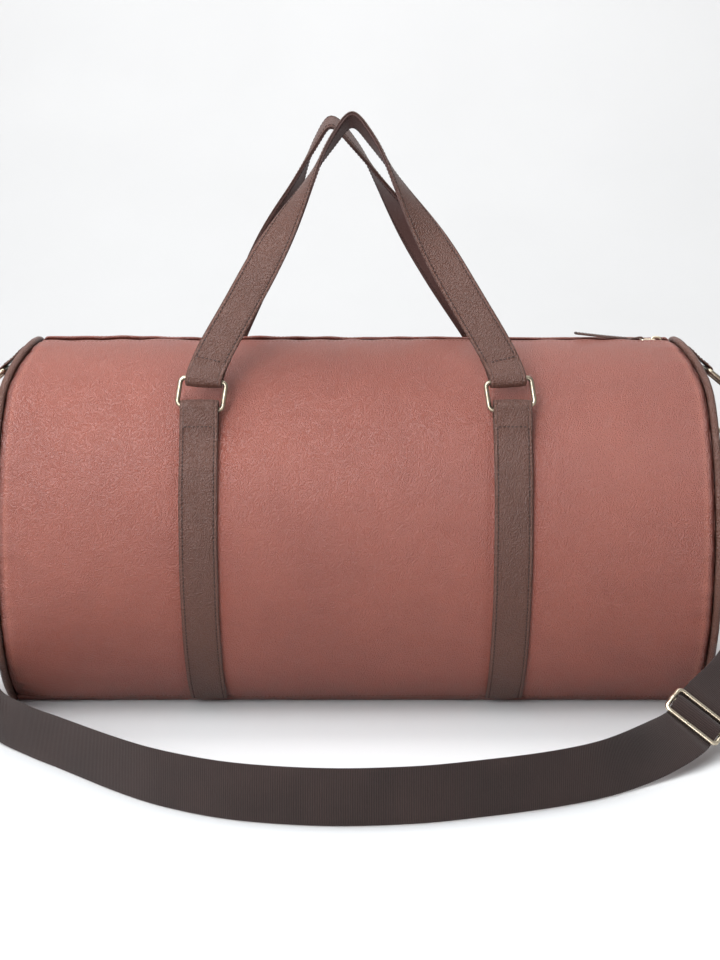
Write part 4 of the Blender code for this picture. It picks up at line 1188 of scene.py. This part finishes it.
def make_body_strap(name, side, end):
    """Leather from round the ring's lower bar, down the panel, to the base seam."""
    def place(degrees, lift):
        y, z = section(degrees, -lift)
        return np.stack([np.full_like(y, end * STRAP_X), y, z], 1)

    flap = place(np.array([63.0, 60.5, 58.0, 56.0, 54.0]), 0.0013)
    a = np.radians(np.linspace(-38, 188, 40))
    turn = np.stack([np.full_like(a, end * STRAP_X), LOOP_RADIUS * np.cos(a), LOOP_RADIUS * np.sin(a)], 1)
    turn += vec(0, -RING_Y, RING_Z)
    leaving = ((56.0, 0.0050), (60.0, 0.0037), (66.0, 0.0034), (72.0, 0.0024))
    outer = np.vstack([place(np.array([d]), h) for d, h in leaving])
    down = place(np.linspace(78, BASE_SEAM - 1, 70), 0.0013)
    line = np.vstack([flap, turn, outer, down]) * vec(1, -side, 1)
    rows, across = even_strip(line, np.tile(vec(1, 0, 0), (len(line), 1)), 0.0008, 3)
    _, normal, across = frames_of(rows, across)
    outward = -1 if normal[-10][1] * side < 0 else 1
    at = lengths_of(rows)
    later = [k for k in range(len(rows)) if at[k] > at[-1] * 0.2]
    seam_at = min(later, key=lambda k: abs(rows[k, 2] - SEAM_Z) + (0 if rows[k, 1] * side > 0.095 else 1))
    edge_wave = 1 + 0.006 * waves(61 + end, at * 70)
    profile = strap_profile(STRAP_WIDTH, STRAP_THICK, 0.0004, 0.00030)
    if outward < 0:
        profile = profile * vec(1, -1)
    swell = np.where(np.arange(len(rows)) < seam_at, 0.93, 1.0)
    shape = swept(rows, across, profile, widths=edge_wave, swell=swell)
    shade = edge_marks(profile, STRAP_WIDTH, len(rows))
    piece("body_band_" + name, shape, BROWN, "body_strap_" + name, shade=shade)
    lift = outward * (STRAP_THICK / 2 + 0.00002)
    seams = []
    for offset in (-1, 1):
        line = on_strip(rows, normal, across, lift, offset * (STRAP_WIDTH / 2 - SEAM_IN))[seam_at:]
        seams.append(stitches(line, (normal * outward)[seam_at:]))
    cross = np.linspace(-1, 1, 14)[:, None] * across[seam_at] * (STRAP_WIDTH / 2 - SEAM_IN)
    cross = rows[seam_at] + normal[seam_at] * (lift + outward * 0.0004) + cross
    seams.append(stitches(cross, np.tile(normal[seam_at] * outward, (14, 1))))
    piece("body_band_stitches_" + name, joined(seams), THREAD)


def handle_path(side, up):
    """Up one leg, over the apex and down the other, from rise and share of the reach."""
    legs = [
        (0.0, 1.0),
        (0.012, 0.967),
        (0.027, 0.905),
        (0.059, 0.752),
        (0.092, 0.597),
        (0.124, 0.447),
        (0.152, 0.316),
        (0.176, 0.205),
        (0.193, 0.110),
        (0.203, 0.045),
    ]
    apex_x = HANDLE_APEX_X["front" if side < 0 else "back"]
    _, bar = ring_bars(side, -1)
    apex = vec(apex_x, bar[1], bar[2]) + up * HANDLE_RISE

    def leg(end):
        reach = end * HANDLE_X - apex_x
        return [vec(apex_x + reach * share, bar[1], bar[2]) + up * rise for rise, share in legs]

    return curve_through([*leg(-1), apex, *reversed(leg(1))], 12)


def handle_frames(side):
    """Points, normals, width directions and reach from the nearer ring, along a handle."""
    lean = radians(HANDLE_LEAN)
    up = vec(0, -side * sin(lean), cos(lean))
    out = vec(0, side * cos(lean), sin(lean))
    path = handle_path(side, up)
    total = lengths_of(path)[-1]
    at = np.arange(0.004, total - 0.0039, 0.001)
    line = along_line(path, at)
    reach = np.minimum(at, total - at)
    ahead = unit(np.gradient(line, axis=0))
    rise = (line - path[0]) @ up
    turn = (pi / 2 * smooth_step((rise - 0.065) / (HANDLE_RISE - 0.07)))[:, None]
    in_plane = np.cross(np.tile(out, (len(ahead), 1)), ahead) * -side
    normal = unit(out * np.cos(turn) + in_plane * np.sin(turn))
    across = unit(np.cross(ahead, normal))
    bars = np.array([bar_across(side, e, RING_TILT / 2) * side * e for e in (-1, 1)])
    bar = np.where((at < total / 2)[:, None], bars[0], bars[1])
    share = smooth_step(reach / 0.03)[:, None]
    across = unit(bar * (1 - share) + across * share)
    return line, normal, across, reach, up, out


def make_handle(name, side):
    """The outer strap wraps both rings; a plainer strap is sewn inside it."""
    points, normals, sides, reach, up, out = handle_frames(side)
    bar_radius = 0.0039 + HANDLE_THICK / 2
    flat = HANDLE_THICK / 2 + GAP / 2
    lift = (flat + (bar_radius - flat) * (1 - smooth_step(reach / 0.016)))[:, None]
    middle = len(points) // 2
    near = reach < 0.0245

    def turn_round(end):
        _, bar = ring_bars(side, end)
        across = bar_across(side, end, RING_TILT / 2) * side * end
        a = np.radians(np.linspace(195, 345, 24))[:, None]
        found = bar + (out * np.cos(a) + up * np.sin(a)) * bar_radius
        return (found if end < 0 else found[::-1]), np.tile(across, (24, 1))

    flap = points - normals * lift
    first = near & (np.arange(len(points)) < middle)
    second = near & ~first
    left, left_across = turn_round(-1)
    right, right_across = turn_round(1)
    outer = points + normals * lift
    strip = np.vstack([flap[first][::-1], left, outer, right, flap[second][::-1]])
    across = np.vstack([sides[first][::-1], left_across, sides, right_across, sides[second][::-1]])
    rows, across = even_strip(strip, across, 0.0009, 3)
    _, normal, across = frames_of(rows, across)
    mid = len(rows) // 2
    facing = 1 if normal[mid] @ normals[middle] > 0 else -1
    at = lengths_of(rows)
    profile = strap_profile(HANDLE_WIDTH, HANDLE_THICK, 0.00045, 0.00030)
    if facing < 0:
        profile = profile * vec(1, -1)
    shape = swept(rows, across, profile, widths=1 + 0.008 * waves(71 + side, at * 60))
    shade = edge_marks(profile, HANDLE_WIDTH, len(rows))
    body = name + "_handle"
    piece("carry_handle_" + name, shape, BROWN, "handle_" + name, body=body, shade=shade)
    inside = reach > 0.03
    under = (points - normals * (flat - 0.0001))[inside]
    inner_rows, inner_across = even_strip(under, sides[inside], 0.0012, 2)
    thin = strap_profile(HANDLE_WIDTH - 0.001, HANDLE_THICK - 0.0002, 0.0002, 0.0002, 0.0024)
    _, inner_normal, inner_across = frames_of(inner_rows, inner_across)
    if inner_normal[len(inner_rows) // 2] @ normals[middle] > 0:
        thin = thin * vec(1, -1)
    piece(
        "carry_handle_lining_" + name, swept(inner_rows, inner_across, thin), BACKING,
        "handle_backing_" + name, body=body,
    )
    seams = []
    sewn = reach > 0.0150
    top = points + normals * (lift + HANDLE_THICK / 2 + 0.00002)
    low = points - normals * (flat - 0.0001 + HANDLE_THICK / 2)
    edge = HANDLE_WIDTH / 2 - SEAM_IN
    for offset in (-edge, edge):
        seams.append(stitches((top + sides * offset)[sewn], normals[sewn]))
        seams.append(stitches((low + sides * offset)[inside], -normals[inside]))
    for k in (int(np.argmax(sewn)), len(points) - 1 - int(np.argmax(sewn[::-1]))):
        cross = top[k] + normals[k] * 0.0004 + sides[k] * np.linspace(-edge, edge, 14)[:, None]
        seams.append(stitches(cross, np.tile(normals[k], (14, 1))))
    piece("carry_handle_stitches_" + name, joined(seams), THREAD, body=body)


for face, side in FACES.items():
    for where, end in SIDES.items():
        make_ring(face + "_" + where, side, end, face + "_rings")
        make_body_strap(face + "_" + where, side, end)
    make_handle(face, side)

# ---- zipper ---------------------------------------------------------------------------
TAPE_TOP = TOP - SKIN - GAP - 0.0014
SLIDER_X = 0.2395
TOOTH = 0.0016
PULL_LENGTH = 0.053
PULL_WIDTH = 0.010
TEETH = (-0.2390, 0.2432)
TAPE_ENDS = (-0.245, 0.246)
STOPS = {"left": -0.2405, "right": 0.2455}


def make_teeth():
    """Two rows of cast teeth whose heads interlock along the closed zipper."""
    plan = [(0.0029, 0.00048), (0.0013, 0.00046), (0.0004, 0.00028), (-0.0003, 0.00044), (-0.0008, 0.00024)]
    for name, side in FACES.items():
        parts = []
        start = TEETH[0] + (TOOTH / 2 if side > 0 else 0)
        for x in np.arange(start, TEETH[1], TOOTH):
            shift = 0.0 if x < SLIDER_X + 0.004 else 0.0004
            tooth = [(h, side * (y + shift)) for y, h in plan]
            tooth += [(-h, side * (y + shift)) for y, h in reversed(plan)]
            rings = []
            for z, grow in ((-0.0014, 0.85), (-0.0010, 1), (0.0004, 1), (0.0008, 0.78)):
                rings.append([(x + a * grow, b, TAPE_TOP + z) for a, b in tooth])
            parts.append(loft(np.array(rings)))
        piece("zipper_chain_" + name, joined(parts), DARK_BRASS, "zipper_teeth_" + name)
        low, high = sorted((side * 0.0027, side * 0.0160))
        ys = np.linspace(low, high, 12)
        xs = np.linspace(*TAPE_ENDS, 240)
        u, v = np.meshgrid(xs, ys, indexing="ij")
        ripple = 0.00012 * waves(81, u * 240, v * 60)
        top = np.stack([u, v, TAPE_TOP - 0.0001 + ripple * (np.abs(v) > 0.004)], -1)
        under = top[:, ::-1] - vec(0, 0, 0.0006)
        tape = loft(np.concatenate([top, under], 1))
        piece("zipper_cloth_" + name, tape, TAPE, "zipper_tape_" + name)
    for name, x in STOPS.items():
        low, high = (x - 0.0010, -0.0026, TAPE_TOP - 0.0018), (x + 0.0010, 0.0026, TAPE_TOP + 0.0012)
        shape = block(low, high, 0.0004)
        piece("zipper_end_" + name, shape, DARK_BRASS, "zipper_stop_" + name)


def slider_plate(x, low, high):
    """A plate with a broad nose, in stacked outlines."""
    shape = [(-0.0045, 0.0028), (-0.0020, 0.0037), (0.0010, 0.0042), (0.0036, 0.0041), (0.0045, 0.0022)]
    plan = shape + [(a, -b) for a, b in reversed(shape)]
    rings = []
    for z, grow in ((low, 0.86), (low + 0.0003, 1), (high - 0.0004, 1), (high, 0.84)):
        rings.append([(x + a * grow, b * grow, z) for a, b in plan])
    return loft(np.array(rings))


def make_slider():
    """Two plates and a neck, with an arch that holds the link."""
    above, under, x = TAPE_TOP + 0.0012, TAPE_TOP - 0.0030, SLIDER_X
    parts = [slider_plate(x, above, above + 0.0013), slider_plate(x, under, under + 0.0012)]
    neck = (x - 0.0035, -0.0004, under + 0.0004), (x + 0.0035, 0.0004, above + 0.0004)
    parts.append(block(*neck, 0.00015))
    arch = curve_through(
        [
            vec(x + 0.0036, 0, above + 0.0006), vec(x + 0.0037, 0, above + 0.0030),
            vec(x + 0.0022, 0, above + 0.0044), vec(x - 0.0022, 0, above + 0.0044),
            vec(x - 0.0037, 0, above + 0.0030), vec(x - 0.0036, 0, above + 0.0006),
        ],
        8,
    )
    parts.append(tube(arch, 0.0008, 14))
    piece("zipper_slider", joined(parts), LIGHT_BRASS, "zip_slider", body="slider")
    link_z = above + 0.0025
    near, far, half = x - 0.0012, x - 0.0122, 0.0030
    corners = [vec(a, b, link_z) for a, b in ((near, -half), (near, half), (far, half), (far, -half))]
    shape = tube(rounded(corners, 0.0016, 7, 6), 0.0007, 14, closed=True)
    piece("zipper_link", shape, LIGHT_BRASS, "pull_link", body="link")
    make_pull(far, link_z)


def make_pull(far, link_z):
    """A leather tab: a strip folded round the link, broad beyond it, with two sewn edges."""
    thick, inner = 0.0013, 0.0012
    middle = inner + thick / 2
    a = np.radians(np.linspace(-75, 75, 16))
    turn = np.stack([far + middle * np.cos(a), 0 * a, link_z + middle * np.sin(a)], 1)
    lower = np.array([(far - 0.004, 0, link_z - 0.00095), (far - 0.0010, 0, link_z - 0.0018)])
    upper = np.array([
        (far - 0.0010, 0, link_z + 0.0018), (far - 0.005, 0, link_z + 0.0010),
        (far - 0.009, 0, link_z + 0.0007), (far - 0.030, 0, link_z + 0.0026),
        (far - PULL_LENGTH, 0, link_z + 0.0052),
    ])
    line = np.vstack([lower, turn, upper])
    rows, across = even_strip(line, np.tile(vec(0, 1, 0), (len(line), 1)), 0.0005, 3)
    away = far - rows[:, 0]
    widths = 0.0036 + (PULL_WIDTH - 0.0036) * smooth_step((away - 0.004) / 0.006)
    profile = strap_profile(PULL_WIDTH, thick, 0.00025, 0.00015, 0.0017)
    _, normal, across = frames_of(rows, across)
    if normal[-5][2] < 0:
        profile = profile * vec(1, -1)
    shape = swept(rows, across, profile, widths=widths / PULL_WIDTH)
    heights = np.abs(profile[:, 0]) / (PULL_WIDTH / 2)
    dark = np.where(heights > 0.95, 0.45, 1.0)
    shade = np.tile(dark, len(rows)).reshape(len(rows), -1)
    shade[-3:] = 0.15
    piece("zipper_pull", shape, BROWN, "pull_tab", body="tab", shade=shade.ravel())
    top = rows + vec(0, 0, thick / 2 + 0.00015)
    keep = away > 0.011
    up = np.tile(vec(0, 0, 1), (keep.sum(), 1))
    seams = [stitches((top + vec(0, y, 0))[keep], up, 0.0026, 0.0019, 0.00026) for y in (-0.0033, 0.0033)]
    piece("zipper_pull_stitches", joined(seams), THREAD, body="tab")


make_teeth()
make_slider()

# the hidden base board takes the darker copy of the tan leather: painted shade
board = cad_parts["base_board"]
board.data.materials.clear()
board.data.materials.append(TAN_SHADOW)


# ---- seams on the body ----------------------------------------------------------------
def make_seams():
    """Sewn lines beside the zipper and along the base seam."""
    for name, side in FACES.items():
        parts = []
        for degrees, first, last in ((6.2, -0.985, 0.985), (BASE_SEAM - 1.6, -0.97, 0.97)):
            u = np.linspace(first, last, 600)
            a = np.full_like(u, degrees)
            line = body_point(side, u, a, lift=0.00005)
            if side > 0:
                line[:, 2] += zip_ridge(a)
            y0, z0 = section(a)
            y1, z1 = section(a, inset=-1.0)
            normal = unit(np.stack([0 * u, (y1 - y0) * -side, z1 - z0], 1))
            clear = (np.abs(np.abs(line[:, 0]) - STRAP_X) > STRAP_WIDTH / 2 + 0.001) | (a < 90)
            start = 0
            while start < len(u):
                if not clear[start]:
                    start += 1
                    continue
                stop = start
                while stop < len(u) and clear[stop]:
                    stop += 1
                if stop - start > 4:
                    run = slice(start, stop)
                    parts.append(stitches(line[run], normal[run], 0.0034, 0.0025, 0.00026, 0.0001))
                start = stop
        piece("panel_stitches_" + name, joined(parts), TAN_THREAD)


make_seams()


# ---- floor and light ------------------------------------------------------------------
def make_stage():
    look = Look("pale_floor", Roughness=0.55, Specular_IOR_Level=0.25)
    tone = look.spread(look.noise(3, 3).outputs["Fac"], 0.3, 0.7)
    look.colour(look.mix(tone, (0.580, 0.580, 0.580), (0.595, 0.595, 0.595)))
    line = [(-3.0, 0.0), (1.3, 0.0)]
    line += [(1.3 + 1.5 * sin(a), 1.5 - 1.5 * cos(a)) for a in np.linspace(0, pi / 2, 24)[1:]]
    line.append((2.8, 4.5))
    rings = np.array([[(x, y, z) for y, z in line] for x in np.linspace(-4, 4, 5)])
    points, faces = loft(rings, wrap=False)
    data = bpy.data.meshes.new("sweep")
    data.from_pydata(points.tolist(), [], faces)
    data.shade_smooth()
    data.materials.append(look.material)
    floor = bpy.data.objects.new("sweep", data)
    scene.collection.objects.link(floor)


def soft_light(name, place, target, size, power, colour=(1, 1, 1)):
    data = bpy.data.lights.new(name, "AREA")
    data.shape = "RECTANGLE"
    data.size, data.size_y = size
    data.energy = power
    data.color = colour
    obj = bpy.data.objects.new(name, data)
    scene.collection.objects.link(obj)
    obj.location = place
    direction = Vector(target) - Vector(place)
    obj.rotation_euler = direction.to_track_quat("-Z", "Y").to_euler()


def light_scene():
    soft_light("key", (-0.70, -0.75, 1.75), (0, 0, 0.18), (1.4, 0.75), 31, (0.93, 0.97, 1.0))
    soft_light("front_box", (-0.80, -1.8, 1.05), (-0.08, 0, 0.16), (0.9, 1.1), 38, (0.94, 0.97, 1.0))
    soft_light("low_fill", (0, -2.9, 0.12), (0, 0, 0.08), (3.0, 0.5), 20, (1.0, 0.86, 0.78))
    soft_light("left_fill", (-2.2, -0.9, 1.3), (0, 0, 0.1), (1.4, 1.6), 14)
    soft_light("right_fill", (2.2, -0.8, 1.3), (0, 0, 0.1), (1.4, 1.6), 2.5)
    soft_light("backdrop", (0, 0.6, 3.2), (0, 2.4, 0.8), (4.0, 1.6), 104)
    world = bpy.data.worlds.new("studio")
    world.use_nodes = True
    world.node_tree.nodes["Background"].inputs["Color"].default_value = (0.97, 0.98, 1.0, 1)
    world.node_tree.nodes["Background"].inputs["Strength"].default_value = 0.33
    scene.world = world


make_stage()
light_scene()
